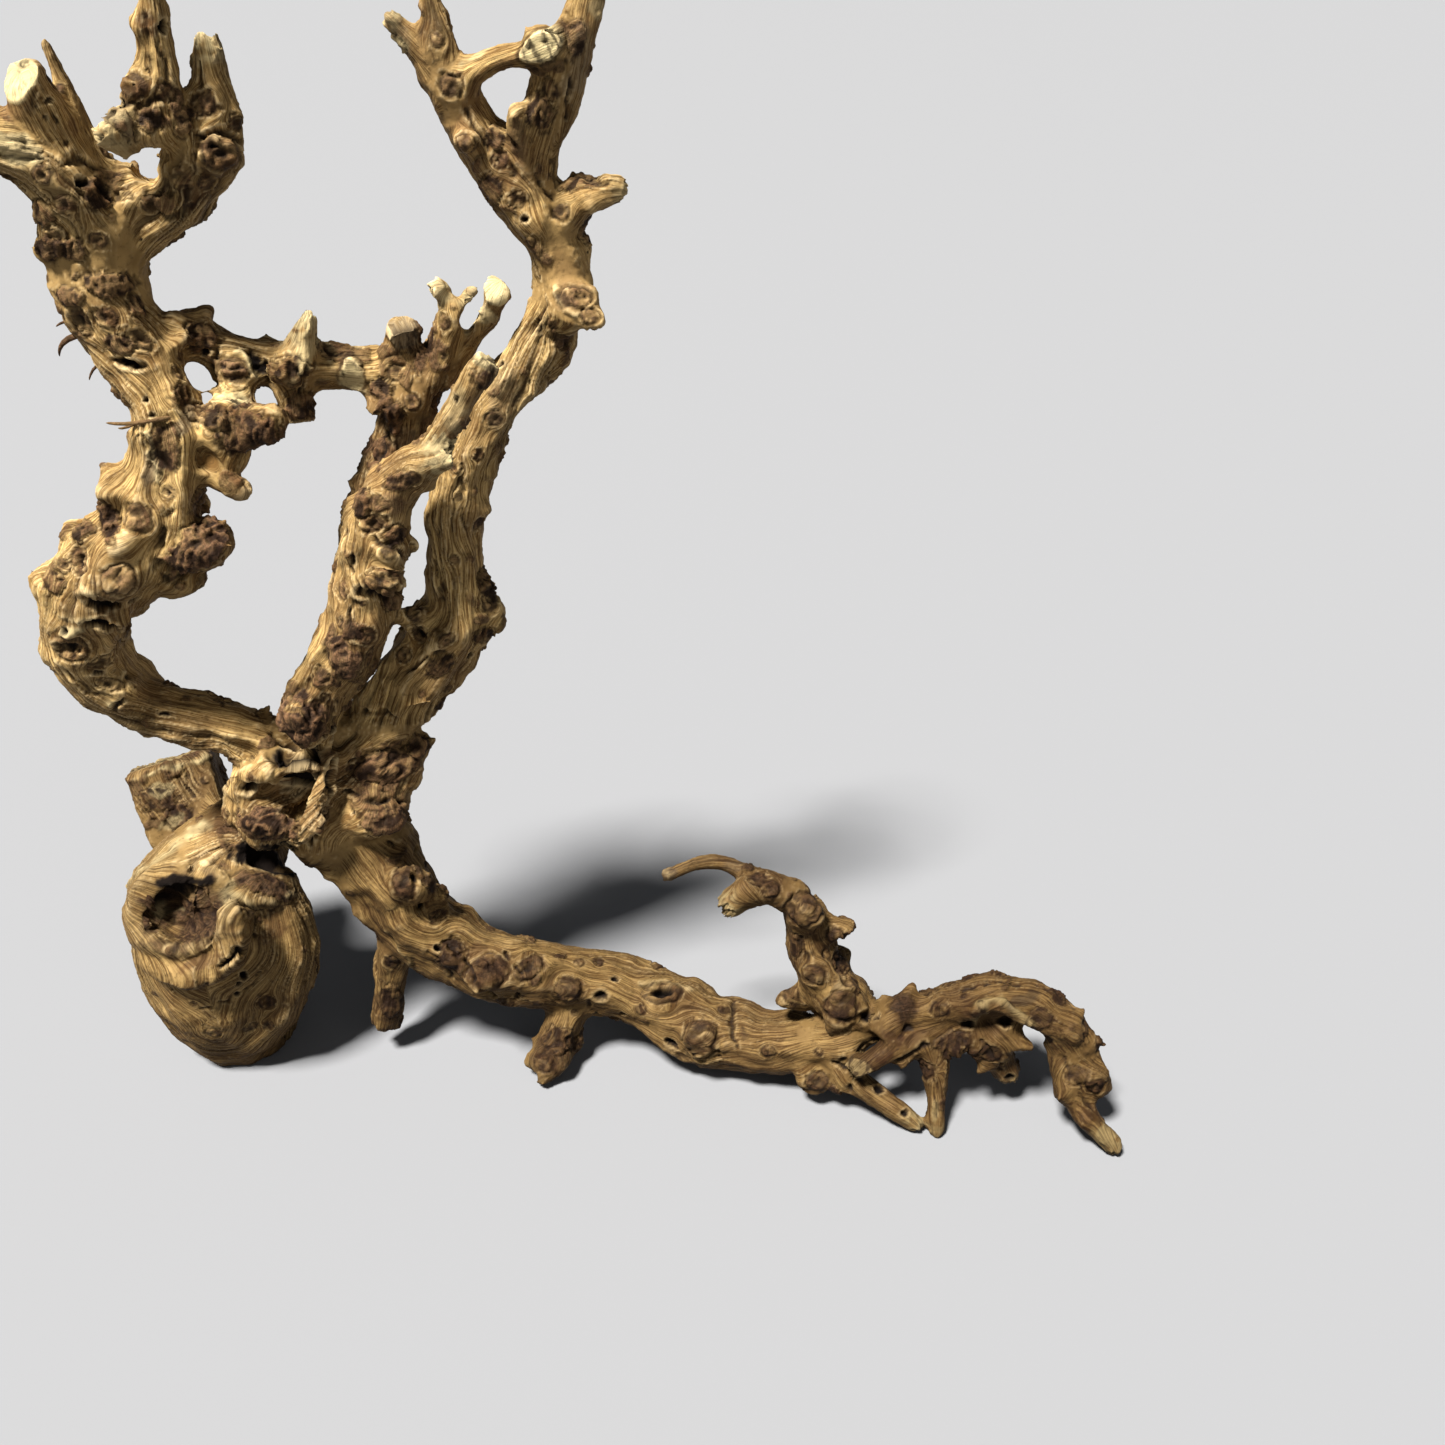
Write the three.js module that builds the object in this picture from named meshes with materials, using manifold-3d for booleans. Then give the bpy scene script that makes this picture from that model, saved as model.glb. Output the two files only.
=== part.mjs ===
// Coral wood: a branching root of hard, knotty wood, standing on its burl and on the tips of its low limb.
// Millimetres, +Z up. The origin is on the ground under the middle of the piece, and the wood is seen
// from -Y, so +X is to its right and +Y goes away behind it.
import * as THREE from "three";
import { mergeVertices } from "three/addons/utils/BufferGeometryUtils.js";
import Module from "manifold-3d";

const wasm = await Module();
wasm.setup();

// Driving dimensions
const SPREAD = 348; // whole width, from the burl's left side to the last root tip
const HEIGHT = 352; // top of the highest spike
const FORK_GAP = 0.3; // clearance kept where two limbs of the same root meet
const GROUND = 0; // level of the surface that the wood stands on
const GROUND_SLAB = 60; // depth of the block that trims whatever would reach below the ground
const MIDDLE = [39.5, -7.5, 0]; // moves the middle of the piece over the origin

// How fine the faces are
const LIMB_SIDES = 7;
const SHOOT_SIDES = 5;
const RING_GAP = 1.5; // distance between the rings of a limb, in mean radii
const SHOOT_RING_GAP = 1.9;
const KNOT_SIDES = 5;
const BALLS = [
  () => new THREE.IcosahedronGeometry(1, 0),
  () => new THREE.OctahedronGeometry(1, 1),
  () => new THREE.IcosahedronGeometry(1, 1),
];

// How uneven the wood is
const GNARL = 0.07; // share of a limb's radius that swells and shrinks round it
const TWIST = 0.045; // turn of that swelling along a limb, in radians for each mm
const LUMPINESS = 0.16; // share of a lump's size that its faces stand in or out

// Colours read from the wood, and its dry, matt surface
const OCHRE = 0xa8854e;
const BROWN = 0x7d5b3c;
const DRY_ROUGHNESS = 0.85;

const UP = new THREE.Vector3(0, 1, 0);

/** Turns a closed three.js geometry into a solid that can be joined and cut. */
function solidOf(geometry) {
  const bare = new THREE.BufferGeometry();
  bare.setAttribute("position", geometry.getAttribute("position"));
  bare.setIndex(geometry.index);
  const merged = mergeVertices(bare, 1e-4);
  return new wasm.Manifold(
    new wasm.Mesh({
      numProp: 3,
      vertProperties: new Float32Array(merged.getAttribute("position").array),
      triVerts: new Uint32Array(merged.index.array),
    }),
  );
}

/** The radius at a place along a limb, eased between the radii of its stations. */
function radiusAt(stations, share) {
  const place = share * (stations.length - 1);
  const before = Math.min(Math.floor(place), stations.length - 2);
  const ease = THREE.MathUtils.smoothstep(place - before, 0, 1);
  return THREE.MathUtils.lerp(stations[before][3], stations[before + 1][3], ease);
}

/** A limb: a closed bar bent along a smooth line through stations of [x, y, z, radius]. */
function limb(stations, options = {}) {
  const { sides = LIMB_SIDES, ringGap = RING_GAP, gnarl = GNARL, turn = 0, dome = 0.4 } = options;
  return (grow) => {
    const line = new THREE.CatmullRomCurve3(
      stations.map(([x, y, z]) => new THREE.Vector3(x, y, z)),
      false,
      "centripetal",
    );
    const length = line.getLength();
    const meanRadius = stations.reduce((sum, station) => sum + station[3], 0) / stations.length;
    const rings = Math.max(2, Math.round(length / (meanRadius * ringGap)));
    const frames = line.computeFrenetFrames(rings, false);
    const bar = new THREE.CylinderGeometry(1, 1, 1, sides, rings);
    const places = bar.getAttribute("position");
    for (let i = 0; i < places.count; i += 1) {
      const along = 0.5 - places.getY(i);
      const ring = Math.round(along * rings);
      const across = Math.hypot(places.getX(i), places.getZ(i));
      const angle = Math.atan2(places.getZ(i), places.getX(i));
      const wave = Math.sin(2 * angle + TWIST * along * length + turn);
      const ripple = Math.sin(3 * angle - 2 * TWIST * along * length + 2 * turn);
      const radius = radiusAt(stations, line.getUtoTmapping(along));
      const reach = (radius * (1 + gnarl * (wave + 0.6 * ripple)) + grow) * across;
      const bulge = ring === 0 ? -1 : Number(ring === rings);
      const ahead = bulge * (grow + (across < 0.5 ? dome * radius : 0));
      const place = line.getPointAt(along);
      place.addScaledVector(frames.normals[ring], reach * Math.cos(angle));
      place.addScaledVector(frames.binormals[ring], reach * Math.sin(angle));
      place.addScaledVector(frames.tangents[ring], ahead);
      places.setXYZ(i, place.x, place.y, place.z);
    }
    return solidOf(bar);
  };
}

/** A thin limb, such as a broken stub, a spike, a prong or a root tip. */
function shoot(stations, options = {}) {
  return limb(stations, { sides: SHOOT_SIDES, ringGap: SHOOT_RING_GAP, gnarl: 0.1, ...options });
}

/** A rough lump of half sizes [x, y, z] mm, tipped by angles in degrees. */
function lump(middle, halfSizes, { fine = 0, rough = LUMPINESS, seed = 0, tip = [0, 0, 0] } = {}) {
  return (grow) => {
    const ball = BALLS[fine]();
    const places = ball.getAttribute("position");
    for (let i = 0; i < places.count; i += 1) {
      const [x, y, z] = [places.getX(i), places.getY(i), places.getZ(i)];
      const bump = Math.sin(3.1 * x + seed) + Math.sin(3.7 * y - 2 * seed) + Math.sin(2.9 * z + 3 * seed);
      const reach = 1 + (rough * bump) / 2;
      places.setXYZ(
        i,
        x * (halfSizes[0] * reach + grow),
        y * (halfSizes[1] * reach + grow),
        z * (halfSizes[2] * reach + grow),
      );
    }
    const [tipX, tipY, tipZ] = tip.map(THREE.MathUtils.degToRad);
    ball.applyMatrix4(new THREE.Matrix4().makeRotationFromEuler(new THREE.Euler(tipX, tipY, tipZ)));
    ball.translate(...middle);
    return solidOf(ball);
  };
}

/** A squared block between the middles of its two ends, with a width across X and a depth across Y. */
function block(foot, head, [width, depth], { seed = 0 } = {}) {
  return (grow) => {
    const [from, to] = [new THREE.Vector3(...foot), new THREE.Vector3(...head)];
    const length = from.distanceTo(to);
    const box = new THREE.BoxGeometry(width + 2 * grow, length + 2 * grow, depth + 2 * grow, 2, 2, 1);
    const places = box.getAttribute("position");
    for (let i = 0; i < places.count; i += 1) {
      const [x, y, z] = [places.getX(i), places.getY(i), places.getZ(i)];
      const wear = 1 + 0.05 * Math.sin(0.5 * y + seed) + 0.04 * Math.sin(0.7 * x + 2 * seed);
      const narrowing = 1 + 0.1 * (y / length);
      places.setXYZ(i, x * wear * narrowing, y, z * wear * narrowing);
    }
    const along = to.clone().sub(from).normalize();
    box.applyQuaternion(new THREE.Quaternion().setFromUnitVectors(UP, along));
    box.translate(...from.add(to).multiplyScalar(0.5));
    return solidOf(box);
  };
}

/** A knot: a low ring with a sunken eye, standing on the wood and facing along a direction. */
function knot(middle, facing, across, rise = 1.6) {
  return (grow) => {
    const rim = across / 2 + grow;
    const profile = [
      new THREE.Vector2(0, -across / 2),
      new THREE.Vector2(rim * 1.15, -across / 2),
      new THREE.Vector2(rim * 0.85, rise + grow),
      new THREE.Vector2(0, rise * 0.1 + grow),
    ];
    const ring = new THREE.LatheGeometry(profile, KNOT_SIDES);
    const way = new THREE.Vector3(...facing).normalize();
    ring.applyQuaternion(new THREE.Quaternion().setFromUnitVectors(UP, way));
    ring.translate(...middle);
    return solidOf(ring);
  };
}

// The wood is one root, parted here at its main forks. Each limb below lists what grows from it, in mm
// in the frame of the ground, before the whole is moved by MIDDLE. Pits are cut into a limb last.

// Knotted hub: the gnarled heart where every limb leaves the root
const knottedHub = {
  colour: BROWN,
  grown: [
    lump([-133, 20, 98], [21, 18, 22], { fine: 2, seed: 1 }),
    lump([-152, 8, 102], [14, 13, 13], { fine: 1, seed: 2 }),
    lump([-147, -2, 107], [10, 7, 8], { seed: 3, tip: [0, 20, 0] }),
    lump([-116, 12, 103], [13, 14, 13], { fine: 1, seed: 4 }),
    limb([[-124, 14, 118, 9], [-112, 15, 115, 9], [-102, 18, 113, 6.5]], { sides: 6 }),
    shoot([[-104, 19, 117, 5], [-98, 20, 123, 2.4]]),
    lump([-122, 20, 125], [16, 14, 13], { fine: 1, seed: 5 }),
    // wood that flows round the dark hole and down beside the deep crack
    shoot([[-126, 6, 124, 5.4], [-138, 1, 126, 5], [-150, 0, 122, 5.4], [-156, 2, 112, 5]]),
    shoot([[-126, 2, 118, 5], [-133, -4, 108, 4.6], [-139, -4, 99, 4]]),
    // the back of the hub
    lump([-141, 32, 106], [14, 13, 16], { fine: 1, seed: 7 }),
    shoot([[-124, 34, 118, 5], [-122, 44, 124, 3], [-123, 50, 129, 1.6]]),
  ],
  pits: [lump([-134, 1, 129], [5, 7, 4], { seed: 4 })],
};

// Root burl: the swollen foot at the left that carries most of the weight
const rootBurl = {
  colour: OCHRE,
  grown: [
    limb(
      [
        [-175, 11, -3, 15],
        [-175, 11, 5, 19],
        [-177, 12, 16, 24.5],
        [-178, 12, 32, 29],
        [-178, 13, 48, 30],
        [-177, 14, 62, 27.5],
        [-172, 18, 76, 20],
        [-161, 25, 88, 13],
      ],
      { sides: 10, ringGap: 0.7, gnarl: 0.03, turn: 2 },
    ),
    // the boss that holds the front hollow, and the crest from its rim up to the hub
    lump([-181, 2, 66], [24, 19, 22], { fine: 2, rough: 0.06, seed: 1 }),
    shoot([[-200, 5, 70, 5.4], [-193, 9, 79, 6], [-182, 15, 86, 6.5], [-169, 22, 90, 6.5]]),
    shoot(
      [
        [-161, -12, 78, 4.4], [-160, -14, 70, 5.4], [-164, -17, 60, 5.4], [-178, -18, 54, 5.4],
        [-194, -11, 56, 4.4],
      ],
    ),
    lump([-157, 4, 76], [12, 10, 6], { seed: 3, tip: [10, 20, 0] }),
    // the swelling that sweeps down the right side and round to the front
    limb(
      [
        [-153, 8, 76, 7], [-151, 6, 63, 9.5], [-150, 4, 48, 10.5], [-155, 2, 33, 11],
        [-165, 0, 18, 11], [-180, 1, 8, 9],
      ],
      { gnarl: 0.04, sides: 6 },
    ),
    // the back of the burl, with the toe that it leans on
    shoot([[-178, 22, 34, 14], [-175, 29, 16, 12.5], [-172, 33, -2, 10.5]]),
    lump([-192, 34, 50], [12, 10, 15], { seed: 9 }),
    knot([-172, 42, 46], [0.1, 1, 0.3], 12, 2),
  ],
  pits: [
    lump([-180, -13, 75], [13, 11, 11], { fine: 2, seed: 1, tip: [-20, 0, 0] }),
    lump([-151, 2, 88], [13, 11, 7], { fine: 1, seed: 2 }),
  ],
  filled: [lump([-176, -5, 71], [9, 7, 8], { fine: 1, rough: 0.24, seed: 2 })],
};

// Sawn stub: the squared end of a limb that was sawn off behind the hub
const sawnStub = {
  colour: BROWN,
  grown: [block([-186, 33, 62], [-198, 49, 97], [27, 22], { seed: 2 })],
};

// Left limb: swings out to the left of the hub, doubles back and climbs to the left crown
const leftLimb = {
  colour: OCHRE,
  grown: [
    limb(
      [
        [-140, 15, 112, 12],
        [-150, 11, 127, 10.5],
        [-163, 8, 136, 8.8],
        [-178, 6, 143, 9],
        [-189, 3, 154, 10.8],
        [-192, 0, 169, 12.4],
        [-187, -2, 184, 13.4],
        [-175, -2, 198, 14.4],
        [-163, -1, 211, 12.8],
        [-157, 1, 223, 11.2],
        [-154, 3, 235, 10.2],
        [-156, 5, 245, 10.2],
        [-161, 7, 256, 11.2],
        [-166, 8, 267, 12.7],
        [-166, 9, 280, 13.5],
      ],
      { ringGap: 1.2, dome: 0.1 },
    ),
    // spikes, knobs and broken knots, from the hub upwards
    lump([-184, -5, 156], [8, 5, 7], { seed: 1 }),
    knot([-190, -11, 174], [-0.2, -1, 0.3], 11, 2),
    lump([-179, -11, 183], [10, 5, 3.4], { seed: 2, tip: [0, 10, 0] }),
    lump([-195, -3, 190], [8, 8, 8], { seed: 3 }),
    lump([-182, -2, 204], [8, 8, 8], { seed: 9 }),
    knot([-170, -14, 196], [0.1, -1, 0.1], 10, 2),
    lump([-148, -4, 203], [11, 9, 8.5], { fine: 1, seed: 4, tip: [0, -30, 0] }),
    lump([-161, 1, 193], [10, 9, 9], { seed: 5 }),
    lump([-170, -3, 218], [6, 7, 8], { seed: 6, rough: 0.26 }),
    shoot([[-146, 0, 223, 4.8], [-139, -2, 221, 3.6], [-134, -3, 218, 1.6]]),
    lump([-138, 2, 233], [10, 9, 9], { fine: 1, rough: 0.24, seed: 8 }),
    shoot([[-136, 2, 235, 6.4], [-128, 3, 237, 6], [-122, 3, 236, 3.8]]),
    // the back of the limb
    knot([-177, 12, 194], [-0.2, 1, 0.1], 10, 2),
    lump([-158, 12, 214], [8, 7, 11], { seed: 3 }),
    shoot([[-160, 10, 228, 5], [-158, 17, 232, 4], [-156, 23, 238, 2.4]]),
    lump([-164, 18, 262], [8, 6, 10], { seed: 5 }),
  ],
};

// Middle limb: the shortest of the three upright limbs, bent over at its elbow, with a ring-cut side shoot
const middleLimb = {
  colour: BROWN,
  grown: [
    limb(
      [
        [-134, 8, 134, 8.2],
        [-126, 8, 149, 10.3],
        [-116, 9, 164, 10.8],
        [-109, 10, 179, 11.3],
        [-105, 10, 194, 10.3],
        [-101, 10, 207, 9.3],
        [-94, 8, 218, 7.8],
        [-84, 4, 225, 5.8],
        [-78, 1, 227, 3.8],
      ],
      { turn: 2 },
    ),
    shoot([[-88, 6, 218, 5.4], [-74, 4, 239, 4.4], [-64, 2, 254, 4.8]], { dome: 0, turn: 1 }),
    lump([-131, 2, 142], [9, 8, 9], { fine: 1, seed: 1 }),
    knot([-131, -5, 147], [-0.1, -1, 0.3], 9, 1.6),
    lump([-115, 0, 164], [6, 4, 9], { seed: 2, tip: [0, -20, 0] }),
    lump([-100, 2, 190], [8, 7, 5], { seed: 4 }),
    lump([-99, 3, 200], [6, 6, 7], { seed: 5, rough: 0.26 }),
    lump([-109, 11, 206], [6, 6, 6], { seed: 7 }),
    lump([-114, 18, 170], [8, 6, 10], { seed: 8 }),
  ],
};

// Right limb: climbs from the hub in a long curve to the right crown
const rightLimb = {
  colour: OCHRE,
  grown: [
    limb(
      [
        [-116, 20, 122, 11],
        [-108, 21, 136, 11.8],
        [-99, 22, 148, 12],
        [-90, 24, 158, 12.6],
        [-84, 25, 169, 11],
        [-83, 26, 180, 8.8],
        [-83, 26, 193, 9.2],
        [-82, 26, 205, 10.2],
        [-76, 26, 219, 9],
        [-67, 26, 235, 8.3],
        [-57, 27, 246, 8.3],
        [-48, 28, 257, 8.3],
        [-45, 28, 268, 7.8],
        [-46, 28, 280, 8.8],
      ],
      { turn: 3, dome: 0.1 },
    ),
    lump([-76, 24, 168], [7, 7, 9], { fine: 1, seed: 2 }),
    lump([-98, 17, 169], [5, 5, 5], { seed: 1 }),
    lump([-43, 22, 263], [8.5, 8, 7.5], { fine: 1, seed: 6 }),
    shoot([[-42, 21, 263, 6], [-34, 20, 260, 3.2]]),
    knot([-92, 35, 166], [-0.3, 1, 0], 10, 2),
    shoot([[-80, 33, 208, 4.5], [-77, 41, 212, 3], [-73, 46, 217, 1.8]]),
  ],
};

// Rear stem: a short stem behind the middle limb, crowded with broken stubs
const rearStem = {
  colour: BROWN,
  grown: [
    limb(
      [
        [-111, 15, 186, 6.4], [-108, 23, 199, 7.6], [-102, 27, 213, 8.4], [-94, 28, 228, 8.8],
        [-90, 27, 241, 8.4], [-80, 26, 245, 6],
      ],
      { sides: 6 },
    ),
    shoot([[-94, 26, 242, 6], [-93, 25, 249, 5.5], [-90, 23, 259, 5.2]]),
    shoot([[-84, 26, 243, 6], [-78, 25, 254, 5.2], [-75, 23, 263, 5.4]], { dome: 0.2 }),
    shoot([[-76, 22, 261, 4.2], [-78, 21, 267, 3.2], [-78, 21, 271, 2]]),
    shoot([[-74, 22, 261, 4.2], [-69, 21, 265, 3]]),
    shoot([[-80, 27, 246, 5], [-71, 27, 256, 4.6], [-63, 24, 269, 4.8]], { dome: 0.2 }),
    lump([-98, 21, 237], [6, 5, 5], { seed: 1 }),
    shoot([[-88, 32, 242, 5], [-86, 41, 248, 3.4], [-84, 46, 251, 2.2]]),
  ],
};

// Bridge limb: crosses from the left limb to the rear stem
const bridgeLimb = {
  colour: BROWN,
  grown: [
    limb(
      [
        [-158, 12, 256, 6.8], [-148, 16, 257, 6.8], [-137, 18, 250, 6.3], [-124, 20, 248, 6.8],
        [-110, 24, 246, 6.8], [-96, 27, 242, 7.2],
      ],
      { turn: 1, sides: 6 },
    ),
    lump([-150, 12, 260], [7, 6, 6], { seed: 1, rough: 0.22 }),
    shoot([[-147, 16, 261, 4], [-141, 17, 265, 1.4]]),
    lump([-137, 12, 244], [7, 5, 8], { seed: 2, rough: 0.26 }),
    shoot([[-124, 18, 248, 6], [-123, 17, 240, 5.4], [-121, 15, 233, 4.8]]),
    shoot([[-122, 18, 248, 5.4], [-117, 17, 256, 4.8], [-114, 17, 263, 2.8]]),
    lump([-120, 13, 249], [7, 6, 6], { seed: 4, rough: 0.26 }),
    shoot([[-128, 24, 248, 5], [-129, 31, 247, 3.6]]),
  ],
};

// Left crown: the outer fork of the left limb, with a thick pale prong, a sawn prong and a thin dry one
const leftCrown = {
  colour: OCHRE,
  grown: [
    limb(
      [
        [-166, 9, 276, 11.5], [-166, 6, 289, 12.7], [-167, 3, 299, 10.7], [-173, 0, 307, 9],
        [-181, -3, 310, 8.8], [-190, -6, 313, 7.4],
      ],
      { dome: 0.3 },
    ),
    limb([[-164, 2, 303, 6.6], [-166, -2, 315, 5.8], [-168, -6, 327, 5.6]], { sides: 6, dome: 0, turn: 1 }),
    shoot(
      [
        [-160, 7, 304, 4], [-162, 7, 316, 2.5], [-164, 7, 323, 2.4], [-166, 7, 332, 1.6],
      ],
      { ringGap: 2.6 },
    ),
    lump([-175, 2, 285], [5, 6, 5], { seed: 1, rough: 0.26 }),
    lump([-171, -1, 296], [6, 6, 7], { seed: 2 }),
    shoot([[-176, 8, 302, 6], [-180, 15, 306, 4], [-182, 20, 308, 2.6]]),
  ],
};

// Crown fork: the inner fork of the left crown, a broad lobe that carries a knobbed mass and a tall spike
const crownFork = {
  colour: BROWN,
  grown: [
    limb(
      [
        [-161, 11, 283, 10], [-151, 12, 292, 11.7], [-139, 14, 299, 10.2], [-131, 13, 307, 8.6],
        [-129, 12, 315, 6.2], [-129, 12, 322, 5], [-128, 11, 331, 3.4],
      ],
      { turn: 1 },
    ),
    limb([[-134, 12, 309, 6.8], [-140, 6, 315, 7.8], [-144, 3, 320, 7.8]], { sides: 6 }),
    shoot(
      [
        [-141, 4, 318, 7.4], [-138, 3, 328, 5.8], [-136, 2, 340, 3.9], [-135, 2, HEIGHT - 1, 1.6],
      ],
      { ringGap: 2.4 },
    ),
    knot([-144, -3, 322], [-0.3, -1, 0.3], 8, 2),
    shoot([[-139, 2, 314, 5], [-146, -3, 312, 4.6], [-150, -6, 310, 4.4]], { dome: 0 }),
    lump([-154, 9, 300], [6, 6, 7], { seed: 5, rough: 0.26 }),
    knot([-128, 5, 306], [0.4, -1, 0.1], 10, 1.6),
    lump([-140, 22, 300], [9, 6, 9], { seed: 4 }),
  ],
};

// Right crown: forks of the right limb, with an arched link, sawn faces and a hooked knob
const rightCrown = {
  colour: OCHRE,
  grown: [
    limb(
      [
        [-46, 28, 276, 7.6], [-50, 28, 287, 10.7], [-56, 27, 296, 9.8], [-62, 26, 304, 8.4],
        [-67, 24, 312, 6.8], [-71, 23, 321, 6.4], [-76, 22, 327, 4.2], [-80, 21, 331, 3.4],
        [-84, 20, 336, 2.8],
      ],
      { turn: 2, sides: 6 },
    ),
    shoot([[-71, 22, 321, 5], [-72, 21, 331, 4], [-74, 20, 350, 1.6]]),
    shoot(
      [
        [-70, 22, 320, 5], [-64, 21, 324, 4], [-57, 19, 327, 3.6], [-49, 18, 328, 4],
        [-42, 20, 330, 5],
      ],
    ),
    limb(
      [
        [-52, 27, 294, 7.6], [-50, 25, 304, 6.6], [-47, 23, 313, 6.2], [-43, 23, 322, 6],
      ],
      { turn: 1, sides: 6 },
    ),
    limb(
      [
        [-43, 22, 308, 2.4], [-42, 23, 316, 4.8], [-40, 23, 324, 6], [-37, 24, 333, 5.8],
        [-33, 24, 343, 4.6], [-31, 24, HEIGHT - 2, 2.4],
      ],
      { sides: 6 },
    ),
    shoot([[-44, 27, 287, 6.4], [-39, 25, 292, 6.4], [-34, 23, 295, 4.8], [-27, 22, 294, 3.6]]),
    lump([-45, 16, 330], [6, 4, 6], { seed: 2 }),
    shoot([[-54, 21, 306, 3.4], [-54, 18, 311, 2.8], [-53, 18, 316, 1.4]]),
    shoot([[-63, 23, 305, 4.4], [-68, 18, 309, 3]], { dome: 0.2 }),
    shoot([[-42, 28, 322, 4.4], [-39, 36, 324, 3.2], [-36, 40, 327, 2]]),
  ],
};

// Low limb: leaves the hub to the right and runs along the ground
const lowLimb = {
  colour: OCHRE,
  grown: [
    limb(
      [
        [-128, 18, 92, 16],
        [-118, 16, 75, 16.5],
        [-111, 12, 58, 15.2],
        [-99, 9, 47, 13.8],
        [-83, 7, 39, 13.3],
        [-65, 7, 33, 12.8],
        [-45, 8, 28, 11.6],
        [-26, 6, 23, 11.8],
        [-9, -1, 15, 13],
        [6, -4, 14, 12.2],
        [22, -9, 16, 11.8],
        [36, -14, 20, 10],
        [46, -18, 22, 8],
      ],
      { sides: 7, ringGap: 1.4 },
    ),
    lump([-12, 5, 22], [13, 10, 10], { seed: 3, tip: [0, 15, 0] }),
    // end knob and the forward prong that reaches the ground
    shoot([[34, -15, 16, 8], [33, -21, 10, 6], [32, -24, 8, 4.4]]),
    shoot([[36, -17, 17, 7.4], [46, -25, 13, 5.2], [57, -31, 8, 4], [66, -35, 2.6, 3.4]]),
    // hanging stub and the knobby foot under the limb
    shoot([[-112, 10, 52, 9.4], [-118, 8, 38, 7], [-120, 6, 24, 6], [-122, 5, 11, 6.2]], { dome: 0.1 }),
    shoot([[-55, 4, 20, 8.4], [-60, -3, 11, 7], [-64, -9, 3, 6.4]]),
    lump([-60, -8, 8], [8, 7, 6], { seed: 1 }),
    // knots and broken ledges
    lump([-104, 2, 78], [8, 6, 10], { seed: 5 }),
    lump([-99, 6, 68], [6, 5, 8], { seed: 6 }),
    knot([-84, -6, 44], [0, -1, 0.5], 14, 2),
    knot([-54, -4, 35], [0, -1, 0.4], 10, 2),
    knot([-8, -14, 20], [0, -1, 0.3], 12, 1.6),
    // the back of the limb, with the toe that it leans on
    knot([-92, 21, 44], [-0.1, 1, 0.2], 11, 2),
    shoot([[-34, 12, 22, 5.4], [-32, 21, 18, 4], [-30, 28, 14, 2.6]]),
    shoot([[8, 2, 12, 7.4], [10, 8, 5, 5.4], [11, 11, 0, 5]]),
  ],
};

// Hook branch: rises from the low limb and ends in a thin curved hook
const hookBranch = {
  colour: BROWN,
  grown: [
    limb(
      [
        [48, -10, 24, 10], [42, -7, 34, 10.4], [33, -5, 45, 9.6], [29, -2, 58, 8.8], [28, -2, 70, 8],
        [21, -3, 78, 5.6], [13, -3, 82, 4.6],
      ],
      { sides: 6 },
    ),
    shoot([[16, -3, 81, 4.4], [9, 0, 82, 3.3], [0, 4, 85, 2.9], [-10, 4, 84, 2.6], [-19, 2, 80, 2.2]]),
    shoot([[17, -4, 80, 5], [9, -6, 77.5, 4.2], [2, -8, 75.5, 3.4]]),
    lump([28, -8, 73], [7, 5, 6], { seed: 1 }),
    shoot([[34, -4, 62, 5.4], [40, -4, 63, 3.8], [45, -4, 64, 1.6]]),
    knot([31, -13, 50], [0, -1, 0.3], 9, 1.6),
    lump([40, -14, 38], [8, 6, 8], { fine: 1, seed: 3 }),
    shoot([[34, -8, 37, 6.4], [27, -9, 36, 4.8], [21, -9, 35, 4]]),
    lump([56, -12, 35], [5, 3, 8], { seed: 5, tip: [0, 30, 0] }),
    lump([38, 3, 42], [7, 5, 9], { seed: 6 }),
  ],
};

// Foot spray: the arched end of the low limb, which splits into root tips that reach the ground
const footSpray = {
  colour: OCHRE,
  grown: [
    limb(
      [
        [50, -11, 26, 6.7], [58, -14, 30, 7.4], [67, -16, 35, 7.8], [78, -17, 42, 7.2],
        [91, -18, 46, 6.7], [104, -20, 45, 7.2], [115, -24, 38, 7.4], [121, -28, 28, 6.4],
        [125, -31, 20, 5.2], [127, -33, 16, 4.4],
      ],
      { sides: 6 },
    ),
    lump([72, -20, 30], [7, 6, 7], { seed: 1 }),
    shoot([[71, -20, 32, 6], [58, -25, 27, 4.8], [45, -29, 22, 4.2]], { dome: 0.1 }),
    shoot([[72, -20, 28, 6.8], [73, -26, 18, 4.4], [73, -33, 8, 3.4], [73, -37, 1, 3]]),
    limb(
      [
        [82, -16, 40, 7.6], [88, -19, 30, 7.6], [94, -20, 21, 6.6], [100, -21, 12, 5],
      ],
      { sides: 6, dome: 0.1 },
    ),
    lump([95, -23, 33], [8, 6, 7], { seed: 2 }),
    shoot([[97, -24, 32, 4], [105, -27, 31, 1.6]]),
    shoot(
      [
        [80, -24, 42, 2.2], [84, -28, 48, 2.4], [90, -28, 50, 2.5], [97, -28, 46, 2.3],
        [106, -29, 41, 2.4], [117, -31, 39, 2.2],
      ],
      { sides: 4, ringGap: 3.4 },
    ),
    shoot([[114, -26, 33, 6.4], [117, -33, 18, 5], [124, -40, 9, 4.3], [132, -45, 3, 3.6]]),
    shoot([[100, -15, 40, 5], [103, -7, 34, 4], [105, -2, 27, 2.6]]),
  ],
};

/** Joins the solids that a list of makers gives, each made thicker by grow mm. */
function joined(makers, grow = 0) {
  return makers.map((make) => make(grow)).reduce((whole, piece) => whole.add(piece));
}

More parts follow.
